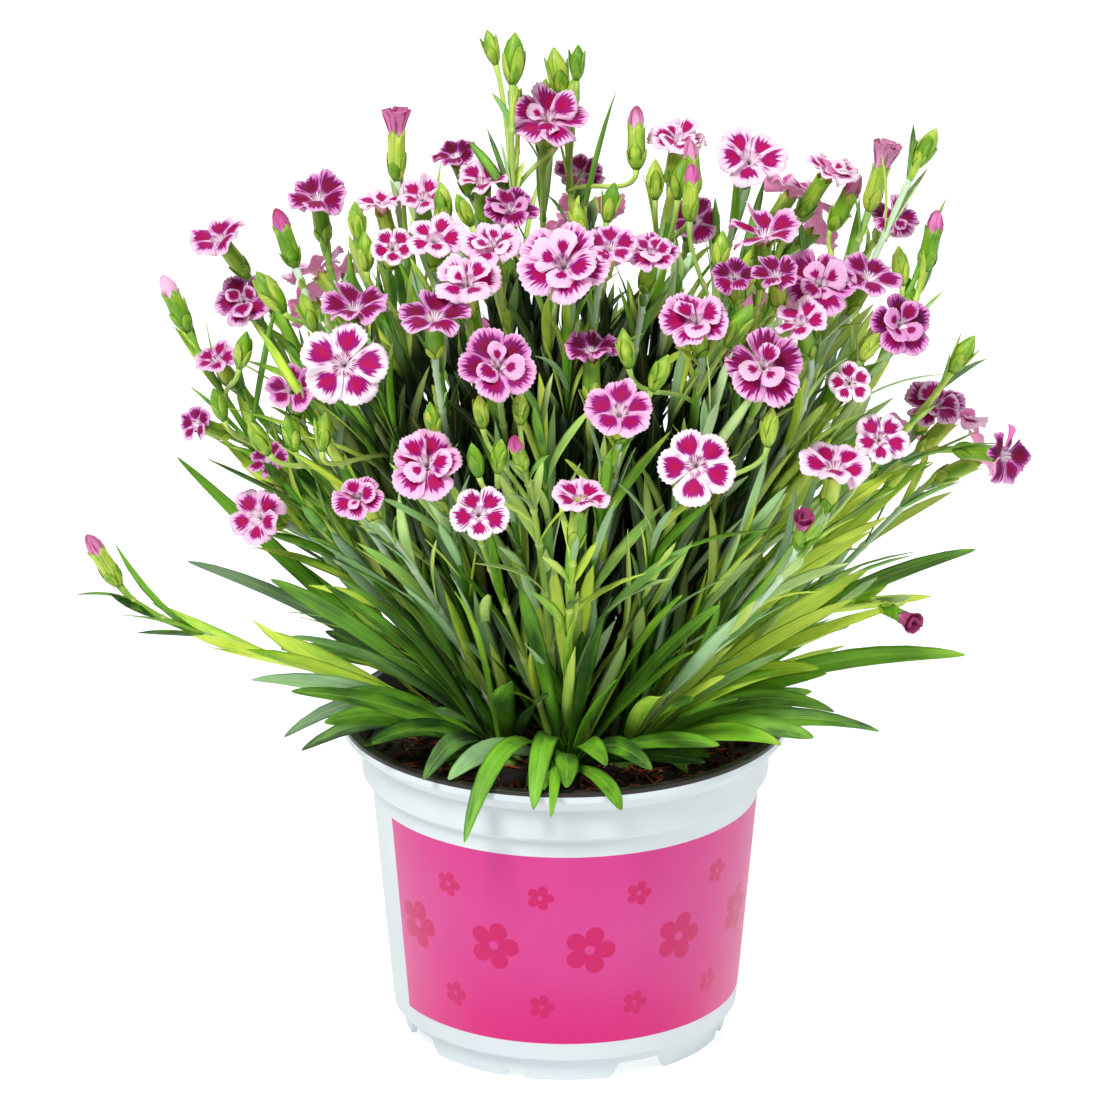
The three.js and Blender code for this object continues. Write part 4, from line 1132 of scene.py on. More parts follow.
# The blades look slimmer than the model's, because they turn their edges to the eye.
SLIMMER = {"long": 0.84, "strap": 0.74, "basal": 0.78, "short": 1.0}
leaves += [rosette_leaf(number) for number in range(ROSETTE)]
for leaf in leaves:
    azimuth, length = leaf["azimuth"], (leaf["arch"][2] - leaf["arch"][0]).length
    level = Vector((-math.sin(azimuth), math.cos(azimuth), 0))
    roll = LEAF_ROLL * math.cos(azimuth) + 0.3 * (look_draw() - 0.5)
    blade_skin(tuft_meshes[leaf["tuft"]], leaf["arch"], leaf["width"] * SLIMMER[leaf["kind"]],
               level, LEAF, leaf_tone(leaf), wave=0.14, phase=6 * look_draw(), roll=roll,
               twist=1.3 * (look_draw() - 0.5), sway=0.12 * length * (look_draw() - 0.5),
               rows=8 if leaf["kind"] == "short" else 12)
print("leaf blades:", len(leaves))

# %% [markdown]
# ## Stems
#
# A carnation's stem is straight and jointed: it swells and pales at each joint, where a pair of
# narrow leaves clasps it. The stem is one rod with more rings near the joints, and the pairs are
# added at every joint that the model leaves bare, pointing each way in turn.

# %% One stem, and the joints along it
# Where along the stem the joints are, and how long and wide the leaves of each one's pair.
JOINTS = (0.08, 0.2, 1 / 3, 0.5, 2 / 3, 0.8, 0.92)
PAIR_LENGTHS = (50, 46, 40, 34, 28, 21, 13)
PAIR_WIDTHS = (3.8, 3.8, 3.6, 3.2, 3.0, 2.6, 2.0)
# The joints at which the model has leaves, and its own number for each.
MODEL_PAIRS = {2: 0, 4: 1}
JOINT_REACH = 1.3


def stem_skin(bm, line, thick, slim, joints, tone):
    length = (line[3] - line[0]).length
    step = JOINT_REACH / length
    stops = {k / 10 for k in range(11)}
    stops = {t for t in stops if all(abs(t - joint) > 1.6 * step for joint in joints)}
    stops |= {joint + k * step for joint in joints for k in (-1, 0, 1)}
    stops = sorted(stops)
    swell = [1.3 if t in joints else 1 for t in stops]
    radii = [mix(thick, slim, t) * s for t, s in zip(stops, swell)]
    radii[-1] = 1.3 * slim
    bright, waxy, own = tone

    def tint(_, v):
        k = min(len(stops) - 1, max(0, round(v * (len(stops) + 1)) - 1))
        return bright, waxy, 0.45 if swell[k] > 1 else 0.0, own

    round_skin(bm, [on_curve(line, t) for t in stops], radii, 8, STEM, tint)


# %% The outline of a stem's leaf, and a test that keeps it off the flowers
def strap_share(t):
    return (0.55 + 0.45 * ease(t, 0, 0.35)) * math.sqrt(max(0, 1 - ease(t, 0.5, 1) ** 1.6))


open_heads = [head for head in heads if "place" in head]


def hides_a_flower(point):
    """Whether a point of a leaf would stand between the eye and an open flower."""
    toward = (point - EYE).normalized()
    for head in open_heads:
        away = head["place"] - EYE
        beside = (away - away.dot(toward) * toward).length
        if beside < 0.38 * head["size"] and (point - EYE).length < away.length + 4:
            return True
    return False


# %% A pair of leaves at a joint
def pair_tone(tip):
    """Painted shade deep inside the bush, waxy in its middle, painted light on the right side and
    painted shade on the left.
    """
    # inside is painted shade, which fades out near the top of the bush.
    inside = ease(math.hypot(tip.x, 1.4 * tip.y), 72, 42) * (0.5 + 0.5 * look_draw())
    inside *= 1 - ease(tip.z, 192, 222)
    bright = 0.12 + 1.05 * look_draw() + 0.05 * ease(tip.x, 0, 70)
    bright *= 1 - 0.25 * ease(tip.x, -35, -85)
    waxy = look_draw() ** mix(1.7, 2.8, ease(abs(tip.x), 15, 55)) * (1 - ease(tip.x, -60, -80))
    return bright, waxy, inside, look_draw()


def leaf_pair(bm, line, t, turn, length, width, skip=()):
    point = on_curve(line, t)
    way = (on_curve(line, t + 0.01) - on_curve(line, t - 0.01)).normalized()
    for side_turn in (0, 1):
        if side_turn in skip:
            continue
        azimuth = turn + side_turn * math.pi + 0.8 * (look_draw() - 0.5)
        reach_out = length * mix(0.65, 1.15, look_draw())
        out = level_way(azimuth)
        out = (out - out.dot(way) * way).normalized()
        lean = (way + mix(0.05, 0.36, look_draw()) * out).normalized()
        if hides_a_flower(point + reach_out * lean) or hides_a_flower(point + 0.6 * reach_out * lean):
            reach_out *= 0.45
        bend = point + 0.5 * reach_out * lean
        tip = point + reach_out * lean + 0.45 * reach_out * out * look_draw() ** 2
        side = way.cross(out).normalized()
        roll = 0.7 * math.cos(azimuth) * look_draw()
        blade_skin(bm, (point, bend, tip), width, side, LEAF, pair_tone(tip), share=strap_share,
                   rows=6, columns=6, thickness=0.5, fold=0.3, roll=roll,
                   twist=look_draw() - 0.5, sway=0.1 * reach_out * (look_draw() - 0.5))


# %% Every stem with its pairs
SHADY_SIDE = -78
GOLDEN_ANGLE, QUARTER = 2.4, 1.57
for stem in stems:
    bm = tuft_meshes[stem["tuft"]]
    waxy = 0.85 if look_draw() < 0.45 else 0.2 * look_draw()
    bright = 0.3 + 0.6 * look_draw()
    if stem["line"][3].x < SHADY_SIDE:
        bright, waxy = 0.3 * bright, 0.1 * waxy
    stem_skin(bm, stem["line"], 1.05, 0.82, JOINTS, (bright, waxy, look_draw()))
    for k, joint in enumerate(JOINTS):
        skip = []
        if k in MODEL_PAIRS:
            skip = [s for s in (0, 1) if (MODEL_PAIRS[k], s) not in stem["bare"]]
        turn = stem["number"] * GOLDEN_ANGLE + k * QUARTER
        leaf_pair(bm, stem["line"], joint, turn, PAIR_LENGTHS[k], PAIR_WIDTHS[k], skip)
print("stems:", len(stems))

# %% [markdown]
# ## Fillers
#
# A bush this full has more stems than the model, and the small leaves that cross in it are left
# to this script. Slimmer stems with pairs of their own rise between the others, spread by a golden
# angle, and end below the flowers. The side shoots and a few slim upright leaves come last.

# %% Filler stems and side shoots
FILLERS = 72
FILLER_JOINTS = (0.4, 0.55, 0.68, 0.79, 0.89, 0.98)
FILLER_REACH = (84, 60)
for number in range(FILLERS):
    turn, share = GOLDEN_ANGLE * number, math.sqrt((number + 0.5) / FILLERS)
    top = share * Vector((FILLER_REACH[0] * math.cos(turn), FILLER_REACH[1] * math.sin(turn), 0))
    top += mix(0.7, 0.97, look_draw()) * mix(238, 200, share * share) * UP
    tuft = nearest_tuft(SPREAD * top.x, SPREAD * top.y)
    start = TUFTS[tuft] + UP
    line = stem_line(start, top, (top - start).normalized(), 8, 0.3)
    stem_skin(tuft_meshes[tuft], line, 0.9, 0.6, (0.2, 0.5, 0.8), (0.0, 0.0, look_draw()))
    for k, joint in enumerate(FILLER_JOINTS):
        leaf_pair(tuft_meshes[tuft], line, joint, turn + QUARTER * k, 36 - 2 * k, 3.6 - 0.2 * k)
for shoot in shoots:
    tone = (0.4 + 0.4 * look_draw(), 0.1, look_draw())
    stem_skin(tuft_meshes[shoot["tuft"]], shoot["line"], 0.62, 0.7, (0.5,), tone)
print("fillers:", FILLERS, "side shoots:", len(shoots))

# %% Slim leaves that stand above the flowers
# The foot and the tip on the sheet, how deep they stand, and the width.
TALL_LEAVES = [
    (6, 222, 13.5, 264, 10, 1.8), (-14, 226, -26, 251, 6, 3.2), (-10, 230, -21, 254, 12, 1.6),
    (92, 196, 102, 236, 14, 1.6), (88, 186, 99, 224, 10, 1.8), (-84, 176, -77, 208, 4, 1.8),
    (66, 206, 62, 232, 16, 2.4), (34, 206, 40, 236, 14, 2.4), (-50, 196, -58, 222, 12, 2.4),
    (-92, 138, -121, 124, -6, 2.2), (98, 150, 118, 170, 4, 2.6), (60, 130, 84, 168, -20, 3.4),
]
hosts = [(stem["tuft"], on_curve(stem["line"], t)) for stem in stems for t in (0.5, 0.6, 0.7, 0.8)]
level = Vector((1, 0.3, 0)).normalized()
for x, s, tip_x, tip_s, y, width in TALL_LEAVES:
    foot, tip = reach(x, s, y), reach(tip_x, tip_s, y)
    tuft, root = min(hosts, key=lambda host: (host[1] - foot).length)
    bend = root.lerp(tip, 0.5) + 0.12 * (tip - root).length * UP
    blade_skin(tuft_meshes[tuft], (root, bend, tip), width, level, LEAF,
               (0.1 + 0.4 * look_draw(), 0.1, 0, look_draw()), share=strap_share, rows=9,
               columns=6, thickness=0.5, fold=0.3, twist=look_draw() - 0.5)
print("tall leaves:", len(TALL_LEAVES))

# %% [markdown]
# ## Calyces, bracts and buds
#
# Under each flower stands a long green tube with five teeth, the calyx, and at its foot two pairs
# of pointed bracts hug it. A bud is the same tube still shut. The tube is a rolled grid whose last
# row is cut to teeth by lifting every other point, and it turns back inside, so that it is closed.

# %% Turned profiles, with teeth at the end of a calyx
# How far along the tube each ring lies, as a share of its length, and its radius.
CALYX_PROFILE = [(0, 0), (0, 0.9), (0.06, 1.5), (0.2, 2.2), (0.5, 2.42), (0.85, 2.3), (1, 2.35)]
BUD_PROFILE = [(0, 0), (0, 0.8), (0.08, 1.5), (0.2, 2.15), (0.4, 2.5), (0.58, 2.5), (0.76, 1.85),
               (0.9, 0.95), (0.98, 0.3), (1, 0)]
ROLL_PROFILE = [(0.5, 0), (0.5, 1.7), (0.66, 2.1), (0.78, 2.2), (0.9, 1.6), (0.97, 0.8), (1, 0)]


def turned_skin(bm, base, axis, length, girth, profile, columns, material, tone, lobes=0.0,
                lobe_count=5, twist=0.0, teeth=0.0):
    """A profile turned round its axis, with soft lobes, and with teeth where it ends open."""
    side, up = flower_sides(axis)
    rows = list(profile)
    if teeth:
        rows += [("teeth", profile[-1][1]), (0.97, profile[-1][1] - 0.45), (0.85, 0)]

    def place(u, v):
        share, radius = rows[round(v * (len(rows) - 1))]
        tooth = 1 - abs(2 * ((5 * u) % 1) - 1)
        if share == "teeth":
            share, radius = 1 + teeth * tooth, radius + 0.35 * tooth
        turn = 2 * math.pi * u
        radius *= girth * (1 + lobes * math.cos(lobe_count * turn + twist * share))
        return base + share * length * axis + radius * spoke(side, up, turn)

    skin(bm, columns, len(rows) - 1, place, material, tone)


# %% Two pairs of bracts
def bract(bm, base, axis, turn, length, girth, width, spread, tone):
    out = spoke(*flower_sides(axis), turn)
    root = base + 0.9 * girth * out
    bend = base + 0.35 * length * axis + 2.95 * girth * out
    tip = base + length * axis + (2.6 + spread) * girth * out
    blade_skin(bm, (root, bend, tip), width, out.cross(axis).normalized(), CALYX, tone,
               rows=5, columns=6, thickness=0.45, fold=-0.35)


def bracts(bm, base, axis, length, girth, shares, spread, tone, turn):
    for i in range(4):
        share = shares[i // 2] * mix(0.9, 1.1, look_draw())
        bract(bm, base, axis, turn + i // 2 * math.pi / 2 + i % 2 * math.pi, share * length, girth,
              3.6 * girth, spread * look_draw(), tone)


# %% Buds: shut, with rolled petals, and half open as a cup
def calyx_tone():
    return 0.25 + 0.65 * look_draw(), 0, 0, look_draw()


def grow_bud(bm, base, axis, kind, scale):
    length, tone, turn = HEADS[kind]["length"] * scale, calyx_tone(), 6 * look_draw()
    if kind == "bud":
        turned_skin(bm, base, axis, length, scale, BUD_PROFILE, 15, CALYX, tone, lobes=0.05,
                    twist=2)
        bracts(bm, base, axis, length, scale, (0.62, 0.78), 0.9, calyx_tone(), turn)
        return
    green = 0.62 * length
    turned_skin(bm, base, axis, green, scale, CALYX_PROFILE, 20, CALYX, tone, teeth=0.2)
    bracts(bm, base, axis, green, scale, (0.5, 0.62), 0.5, calyx_tone(), turn)
    pink = (0, look_draw(), look_draw(), look_draw())
    if kind == "tip":
        turned_skin(bm, base, axis, length, scale, ROLL_PROFILE, 18, ROLLED, pink, lobes=0.12,
                    lobe_count=3, twist=9)
        return
    for i in range(8):
        ring, turn, count = (1, 0.0, 5) if i < 5 else (0.45, 0.6, 3)
        out = spoke(*flower_sides(axis), turn + 2 * math.pi * i / count)
        root = base + 0.5 * length * axis + ring * scale * out
        bend = base + 0.78 * length * axis + 1.9 * ring * scale * out
        tip = base + mix(0.97, 1.03, look_draw()) * length * axis + 3.9 * ring * scale * out
        blade_skin(bm, (root, bend, tip), 5.2 * scale, axis.cross(out).normalized(), ROLLED, pink,
                   share=lambda t: mix(0.35, 1, ease(t, 0, 0.8)) * (0.8 if t > 0.95 else 1),
                   rows=7, columns=8, thickness=0.4, fold=0.3)


# %% Every calyx and bud
for stem in stems:
    head, base, bm = stem["head"], stem["line"][3], tuft_meshes[stem["tuft"]]
    if head["kind"] == "open":
        length = HEADS["open"]["length"] * stem["scale"]
        turned_skin(bm, base, head["axis"], length, stem["scale"], CALYX_PROFILE, 20, CALYX,
                    calyx_tone(), teeth=0.17)
        bracts(bm, base, head["axis"], length, stem["scale"], (0.45, 0.55), 0.4, calyx_tone(),
               6 * look_draw())
    else:
        grow_bud(bm, base, head["axis"], head["kind"], stem["scale"])
for shoot in shoots:
    grow_bud(tuft_meshes[shoot["tuft"]], shoot["line"][3], shoot["axis"], shoot["kind"],
             shoot["scale"])
print("heads on stems:", len(stems), "buds on shoots:", len(shoots))

# %% Crowns, where the stems of a tuft meet
CROWN_RINGS = [(0, -1.5), (5, -1.5), (4.6, 0.5), (3.2, 2.5), (0, 2.5)]


def crown_skin(bm, tuft):
    def place(u, v):
        radius, z = CROWN_RINGS[round(v * (len(CROWN_RINGS) - 1))]
        turn = 2 * math.pi * u
        return tuft + radius * (1 + 0.12 * math.sin(3 * turn)) * level_way(turn) + z * UP

    skin(bm, 18, len(CROWN_RINGS) - 1, place, STEM, (0.1, 0, 0.1, look_draw()))


for tuft, bm in zip(TUFTS, tuft_meshes):
    crown_skin(bm, tuft)

# %% One piece of foliage for each tuft
foliage = [save_piece(bm, name + "_foliage", GREENS, [name])
           for name, bm in zip(tuft_names, tuft_meshes)]
print("foliage faces:", sum(len(piece.data.polygons) for piece in foliage))

# %% [markdown]
# ## Flowers
#
# Each flower has five broad petals on narrow claws that rise out of the calyx, and the fuller
# ones hold a few more, folded upright in the middle. A petal is one open grid: the outer row is
# pinked by pulling in every other point, the blade ruffles a little, and one side rides over its
# neighbour, as in life. A Solidify modifier gives it a thickness and the back its own finish.

# %% Looks of the flowers, by their place on the sheet
# Patch size, whiteness of the margin, darkness of the eye, and how far the petals cup.
STYLES = {
    "white": (0.35, 1.0, 0.1, 0.0), "pale": (0.05, 0.6, 0.0, 0.3), "pink": (0.4, 0.45, 0.25, 0.1),
    "wine": (0.6, 0.4, 0.75, 0.1), "dark": (0.85, 0.1, 1.0, 0.15),
}
STYLED = {
    "white": [(-59, 191), (35, 164), (76, 186), (84, 171), (-23, 151), (-46, 222)],
    "dark": [(-29, 246), (-14, 231), (7, 194), (117, 167), (90, 200), (44, 214)],
    "pale": [(30, 250), (-19, 222), (72, 163), (4, 154), (63, 202), (-38, 235), (-49, 233)],
    "wine": [(53, 190), (68, 212), (99, 180), (-18, 190), (-86, 208), (88, 230), (-73, 184)],
}


def style_of(head, draw):
    for style, spots in STYLED.items():
        if head["spot"] in spots:
            return STYLES[style]
    return STYLES["pink" if draw() < 0.55 else "wine" if draw() < 0.5 else "pale"]


# %% One petal
PETAL_COLUMNS, PETAL_ROWS = 20, 9
PETAL_THICKNESS = 0.28


def petal(bm, centre, axis, middle, radius, tilt, half, tone, draw, curl=0.0, fold=0.0):
    """One petal round the angle `middle`, as wide as twice `half`, that rises by `tilt`."""
    side, up = flower_sides(axis)
    size = mix(0.9, 1.05, draw())
    phase, ruffle, hollow = 6.3 * draw(), mix(0.05, 0.12, draw()), mix(-0.1, 0.2, draw())
    lean = 0.7 * (draw() - 0.5)
    nicks = [mix(0.3, 1, draw()) for _ in range(PETAL_COLUMNS + 1)]
    claw = 3.1 * min(1, radius / 9)

    def place(u, v):
        x = 1 - 2 * u
        column = round(u * PETAL_COLUMNS)
        extent = 1 - 0.2 * abs(x) ** 2.8
        if column % 2:
            extent -= 0.055 * nicks[column] * v ** 7
        r = 0.35 + (radius * size * extent * (1 - fold * x * x) - 0.35) * v
        turn = middle + x * half * (1 - 0.06 * v ** 4)
        rise = r * tilt - claw * (1 - min(1, v / 0.22)) ** 1.5
        rise += radius * ruffle * v ** 3 * math.sin(5.5 * x + phase)
        rise -= radius * (0.1 + 0.35 * max(0, tilt - 0.3)) * v ** 3
        rise += (0.4 + lean * r) * x * v + (curl + hollow) * radius * x * x * v
        return centre + r * spoke(side, up, turn) + rise * axis

    skin(bm, PETAL_COLUMNS, PETAL_ROWS, place, 0, tone, rolled=False)


# %% One flower
def flower(bm, head, number):
    spin, outer, inner = head["plan"]
    draw = seeded(STREAMS["petals"] + number)
    patch, white, dark, cup = style_of(head, draw)
    own = draw()
    patch = min(1, max(0, patch + 0.2 * (draw() - 0.5)))
    white = min(1, max(0, white + 0.2 * (draw() - 0.5)))
    radius = head["size"] / 2
    side, up = flower_sides(head["axis"])
    lift = 0.12 + 0.62 * ease(head["axis"].z, 0.42, 0.85)
    for i, tilt in enumerate(outer):
        angle = spin + 2 * math.pi * i / 5 + 0.2 * (draw() - 0.5)
        low = -spoke(side, up, angle).z
        tilt += lift * max(0, 0.25 + low) * mix(0.5, 1.2, draw()) - 0.1 * max(0, -low)
        tilt += cup * draw()
        # Drooping lower petals get a smaller patch, and a lighter eye that is painted light.
        face = (patch - 0.25 * ease(low, 0, 1), white, dark * mix(1, 0.45, ease(low, -0.2, 0.8)), own)
        petal(bm, head["place"], head["axis"], angle, radius, tilt, math.radians(38), face, draw)
    for i, tilt in enumerate(inner):
        angle = spin + 0.6 + 2 * math.pi * i / len(inner) + 0.8 * (draw() - 0.5)
        patch_size = -0.3 if draw() < 0.35 else 0.7 * patch
        plain = (patch_size, min(1, white + 0.1), 0.5 * dark, own)
        petal(bm, head["place"] + 0.5 * head["axis"], head["axis"], angle,
              mix(0.55, 0.78, draw()) * radius, 0.7 * tilt + 0.45 * draw(),
              math.radians(mix(40, 52, draw())), plain, draw, curl=mix(-0.1, 0.25, draw()),
              fold=0.2 * draw())


# %% Every flower, as one piece for each cluster that touches
clusters = {name: [] for name in bloom_names}
for number, head in enumerate(heads):
    if "node" in head:
        clusters[head["node"]].append((number, head))
petal_faces = 0
for name, members in clusters.items():
    bm = new_piece()
    for number, head in members:
        flower(bm, head, number)
    petal_faces += len(bm.faces)
    piece = save_piece(bm, name + "_petals", PETALS, [name])
    solid = piece.modifiers.new("thickness", "SOLIDIFY")
    solid.thickness = PETAL_THICKNESS * MM
    solid.offset = 0
    solid.material_offset = 1
print("clusters:", len(clusters), "petal faces:", petal_faces)

# %% [markdown]
# ## Pot
#
# A thin-walled nursery pot, white outside and black inside, with a stepped collar, a flared lip,
# and a foot ring that is cut away in four wide gaps and four notches to let water out. It is spun
# from one profile. The cuts are one Boolean, and a small bevel softens every moulded edge. The
# print is a plain pink field with a scatter of simple blossoms, and leaves a white strip bare.


# %% The print's place on the wall, and its blossoms
WALL_RADIUS = 49.5
PRINT_HEIGHTS = (12.05, 67.65)
PRINT_TURNS = (math.radians(-153), math.radians(161))
BLOSSOMS_AROUND = 12
# How high each row of blossoms stands, their size, and how far the row is moved round the wall.
BLOSSOM_ROWS = [(40, 7.0, 0.25), (55.5, 3.6, 0.75), (23, 3.6, 0.75)]


def blossom(look, turn, height, middle, size, shift):
    """A soft mask of five-petalled blossoms, repeated round the wall."""
    across = turn * (BLOSSOMS_AROUND / (2 * math.pi)) + shift
    x = (look.math("FRACT", across) - 0.5) * (2 * math.pi * WALL_RADIUS / BLOSSOMS_AROUND)
    y = height - middle
    angle = look.math("ARCTAN2", y, x)
    far = look.math("SQRT", x * x + y * y)
    lobes = look.math("SQRT", abs(look.math("COSINE", angle * 2.5)))
    petals = look.step(lobes * (0.55 * size) + 0.45 * size - far, -0.12, 0.12)
    return petals * look.step(far, 0.16 * size, 0.22 * size)


# %% Pot finishes
def pot_shell_finish():
    look = Finish("pot_shell", 0.34, Specular_IOR_Level=0.3)
    coordinates, (x, y, z) = look.place()
    height = z * 1000
    turn = look.math("ARCTAN2", y, x)
    mottle = look.noise(coordinates, 16, 3, 2)
    grain = look.noise(coordinates, 900, 2, 5)
    white = look.mix(look.step(mottle, 0.35, 0.7), "CCD6D9", "C0CBCE")
    pink = look.mix(look.step(height, 8, 44), "C80A70", "C63684")
    pink = look.mix(look.step(height, 46, 70), pink, "C62C80")
    pink = look.mix(look.step(mottle, 0.4, 0.75) * 0.35, pink, "D25C9C")
    for row in BLOSSOM_ROWS:
        pink = look.mix(blossom(look, turn, height, *row), pink, "BC005C")
    printed = look.between(height, *PRINT_HEIGHTS, 0.15)
    printed *= look.between(turn, *PRINT_TURNS, math.radians(0.1))
    colour = look.mix(printed, white, pink)
    colour = look.mix(look.step(height, 87.7, 87.9), colour, "2B2826")
    return look.done(colour, grain, 0.03)


def pot_inside_finish():
    look = Finish("pot_inside", 0.45)
    coordinates, _ = look.place()
    dust = look.noise(coordinates, 260, 3, 1)
    colour = look.mix(look.step(dust, 0.45, 0.8), "1D1A18", "4A4038")
    return look.done(colour, dust, 0.15)


pot_looks = [pot_shell_finish(), pot_inside_finish()]

# %% Spin the pot
POT_PROFILE = [
    (0, 7), (41.9, 7), (41.9, 0), (43.5, 0), (44.2, 6.6), (46.7, 7.1), (52.4, 72.2), (54.8, 73.8),
    (55.2, 82), (60, 86), (60, 89), (57.6, 89), (53.6, 81.5), (53.6, 74.8), (51.2, 72.8),
    (45.5, 8.2), (0, 8.2),
]
POT_STEPS = 144
POT_FLOOR, FOOT_RADIUS = 7.5, 43.5
# The width, the height and the turn of the cuts in each quarter of the foot ring.
FOOT_CUTS = [(12, 4, 0), (4, 2, 45)]
EDGE_SOFTNESS = 0.3

pot_bm = new_piece()
profile_verts = [pot_bm.verts.new(Vector((r, 0, z)) * MM) for r, z in POT_PROFILE]
profile_edges = [pot_bm.edges.new(pair) for pair in zip(profile_verts, profile_verts[1:])]
bmesh.ops.spin(pot_bm, geom=profile_verts + profile_edges, cent=(0, 0, 0), axis=(0, 0, 1),
               angle=2 * math.pi, steps=POT_STEPS, use_merge=True)
bmesh.ops.remove_doubles(pot_bm, verts=pot_bm.verts, dist=1e-6)
bmesh.ops.recalc_face_normals(pot_bm, faces=pot_bm.faces)
for face in pot_bm.faces:
    middle = face.calc_center_median()
    inward = face.normal.x * middle.x + face.normal.y * middle.y < -0.3 * middle.xy.length
    face.material_index = int(middle.z > POT_FLOOR * MM and (inward or face.normal.z > 0.3))
    face.smooth = True
print("pot faces:", len(pot_bm.faces), "dark:", sum(f.material_index for f in pot_bm.faces))
pot = save_piece(pot_bm, "pot_moulded", pot_looks, ["pot"])

# %% Cut the foot and soften the edges
cutter_bm = bmesh.new()
for quarter in range(4):
    for width, rise, turn in FOOT_CUTS:
        angle = math.radians(-153 + turn + 90 * quarter)
        box = bmesh.ops.create_cube(cutter_bm, size=MM)["verts"]
        bmesh.ops.scale(cutter_bm, vec=(12, width, 2 * rise), verts=box)
        low = [vert for vert in box if vert.co.z < 0]
        bmesh.ops.scale(cutter_bm, vec=(1, 1.7, 1), verts=low)
        bmesh.ops.translate(cutter_bm, vec=(FOOT_RADIUS * MM, 0, 0), verts=box)
        bmesh.ops.rotate(cutter_bm, cent=(0, 0, 0), verts=box, matrix=Matrix.Rotation(angle, 3, "Z"))
cutter_mesh = bpy.data.meshes.new("foot_cuts")
cutter_bm.to_mesh(cutter_mesh)
cutter_bm.free()
cutter = bpy.data.objects.new("foot_cuts", cutter_mesh)
bpy.context.scene.collection.objects.link(cutter)
cut = pot.modifiers.new("foot_cuts", "BOOLEAN")
cut.object = cutter
cut.operation = "DIFFERENCE"
cut.solver = "EXACT"
cut_pot = bpy.data.meshes.new_from_object(pot.evaluated_get(bpy.context.evaluated_depsgraph_get()))
pot.modifiers.clear()
pot.data = cut_pot
bpy.data.objects.remove(cutter)
soft = pot.modifiers.new("soft_edges", "BEVEL")
soft.width = EDGE_SOFTNESS * MM
soft.segments = 2
soft.limit_method = "ANGLE"
soft.angle_limit = math.radians(28)
soft.harden_normals = False
print("pot faces after the cuts:", len(cut_pot.polygons))

# %% [markdown]
# ## Peat
#
# The pot is filled with dark peat to a little under its lip. Its top is a disc of rings raised by
# noise, and on it lie crumbs, reddish fibres and a few pale grains. They stay small and coarse,
# since there are hundreds of them. The filling is closed below, out of sight.


# %% Peat finish
def peat_finish():
    look = Finish("peat", 0.95)
    coordinates, _ = look.place()
    red, pale, shade, _ = look.tone()
    clumps = look.noise(coordinates, 170, 4, 3)
    colour = look.mix(look.step(clumps, 0.35, 0.75), "120A06", "34200F")
    colour = look.mix(shade * 0.5, colour, "3F2A18")
    colour = look.mix(red * 0.9, colour, "B05428")
    colour = look.mix(pale, colour, "C9BBA0")
    return look.done(colour, clumps, 0.6)


peat_look = peat_finish()

# %% The filling and its uneven top
PEAT_RINGS = 22
PEAT_TOP = 53.0
PEAT_SIDE = [(0, 8.4), (45.2, 8.4), (50.9, 72.6), (53.2, 75.2), (53.2, 78.6)]
peat_bm = new_piece()


def peat_height(x, y):
    big = noise.noise(Vector((x * 0.09, y * 0.09, 3)))
    small = noise.noise(Vector((x * 0.5, y * 0.5, 9)))
    return SOIL_TOP - 0.6 + 1.1 * big + 0.5 * small


def peat_place(u, v):
    k = round(v * (len(PEAT_SIDE) + PEAT_RINGS - 1))
    turn = 2 * math.pi * u
    if k < len(PEAT_SIDE):
        r, z = PEAT_SIDE[k]
        return Vector((r * math.cos(turn), r * math.sin(turn), z))
    r = PEAT_TOP * (1 - (k - len(PEAT_SIDE)) / (PEAT_RINGS - 1))
    x, y = r * math.cos(turn), r * math.sin(turn)
    return Vector((x, y, peat_height(x, y)))


skin(peat_bm, 110, len(PEAT_SIDE) + PEAT_RINGS - 1, peat_place, 0, (0, 0, 0, 0))

# %% Crumbs, grains and fibres
CRUMBS, GRAINS, FIBRES = 700, 70, 260
PEAT_EDGE = 52.4
peat_draw = seeded(31)


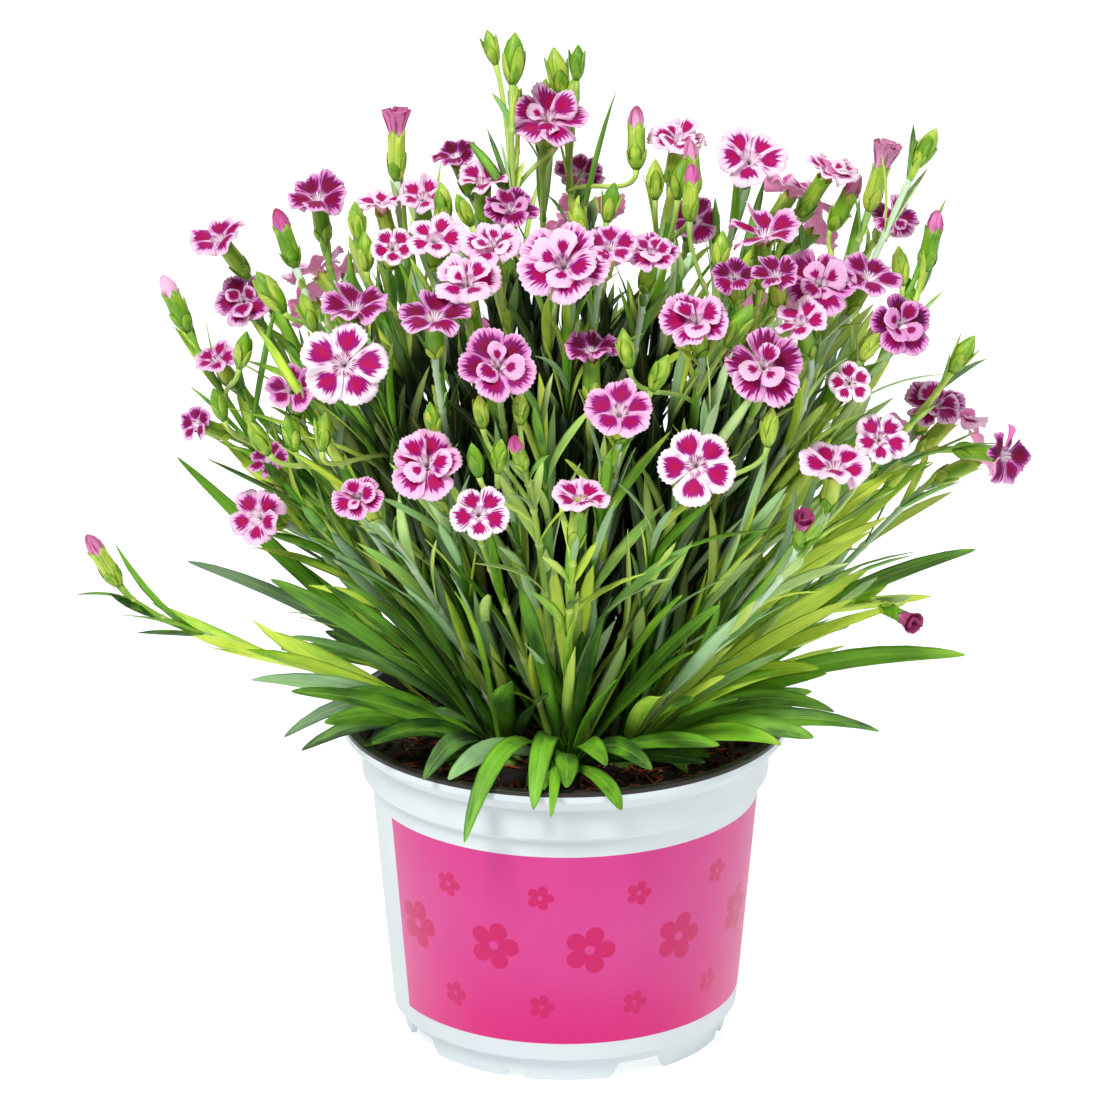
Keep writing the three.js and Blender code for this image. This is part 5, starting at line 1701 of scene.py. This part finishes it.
def crumb(size, tone):
    r, turn = 52 * math.sqrt(peat_draw()), 2 * math.pi * peat_draw()
    x, y = r * math.cos(turn), r * math.sin(turn)
    ball = bmesh.ops.create_icosphere(peat_bm, subdivisions=1, radius=size * MM)["verts"]
    layer = peat_bm.verts.layers.float_color["tone"]
    squash = [mix(0.6, 1.3, peat_draw()) for _ in range(3)]
    bmesh.ops.scale(peat_bm, vec=squash, verts=ball)
    bmesh.ops.translate(peat_bm, vec=Vector((x, y, peat_height(x, y) + 0.3 * size)) * MM, verts=ball)
    for vert in ball:
        vert[layer] = tone


for _ in range(CRUMBS):
    crumb(mix(0.3, 1.3, peat_draw() ** 2), (peat_draw() ** 3, 0, peat_draw(), 0))
for _ in range(GRAINS):
    crumb(mix(0.25, 0.7, peat_draw()), (0, 1, 0, 0))
for _ in range(FIBRES):
    r, turn, yaw = 50 * math.sqrt(peat_draw()), 2 * math.pi * peat_draw(), 6.3 * peat_draw()
    middle = r * level_way(turn)
    half = mix(1.5, 4.5, peat_draw()) * level_way(yaw)
    line = [middle - half, middle + 0.3 * Vector((half.y, -half.x, 0)), middle + half]
    for point in line:
        point.z = peat_height(point.x, point.y) + 0.5
    line[1].z += 0.4
    line = [point for point in line if point.xy.length < PEAT_EDGE]
    if len(line) == 3:
        round_skin(peat_bm, line, [0.25, 0.36, 0.22], 4, 0, (mix(0.5, 1, peat_draw()), 0, 0.5, 0))
peat = save_piece(peat_bm, "peat", [peat_look], ["soil"])
print("peat faces:", len(peat.data.polygons))

# %% [markdown]
# ## Measure and finish
#
# The dressed plant has to fill the model's own box. The sizes from before and after are printed.

# %% Sizes, and the end
counts = {o.name: sum(len(f.vertices) - 2 for f in o.data.polygons)
          for o in bpy.context.scene.objects if o.type == "MESH"}
print("mesh triangles before modifiers:", sum(counts.values()), "largest:", max(counts.values()))
new_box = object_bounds()
sizes = {"loaded": [list(corner) for corner in cad_box],
         "finished": [list(corner) for corner in new_box]}
print("box:", [[round(c * 1000, 1) for c in corner] for corner in sizes["loaded"]],
      [[round(c * 1000, 1) for c in corner] for corner in sizes["finished"]])
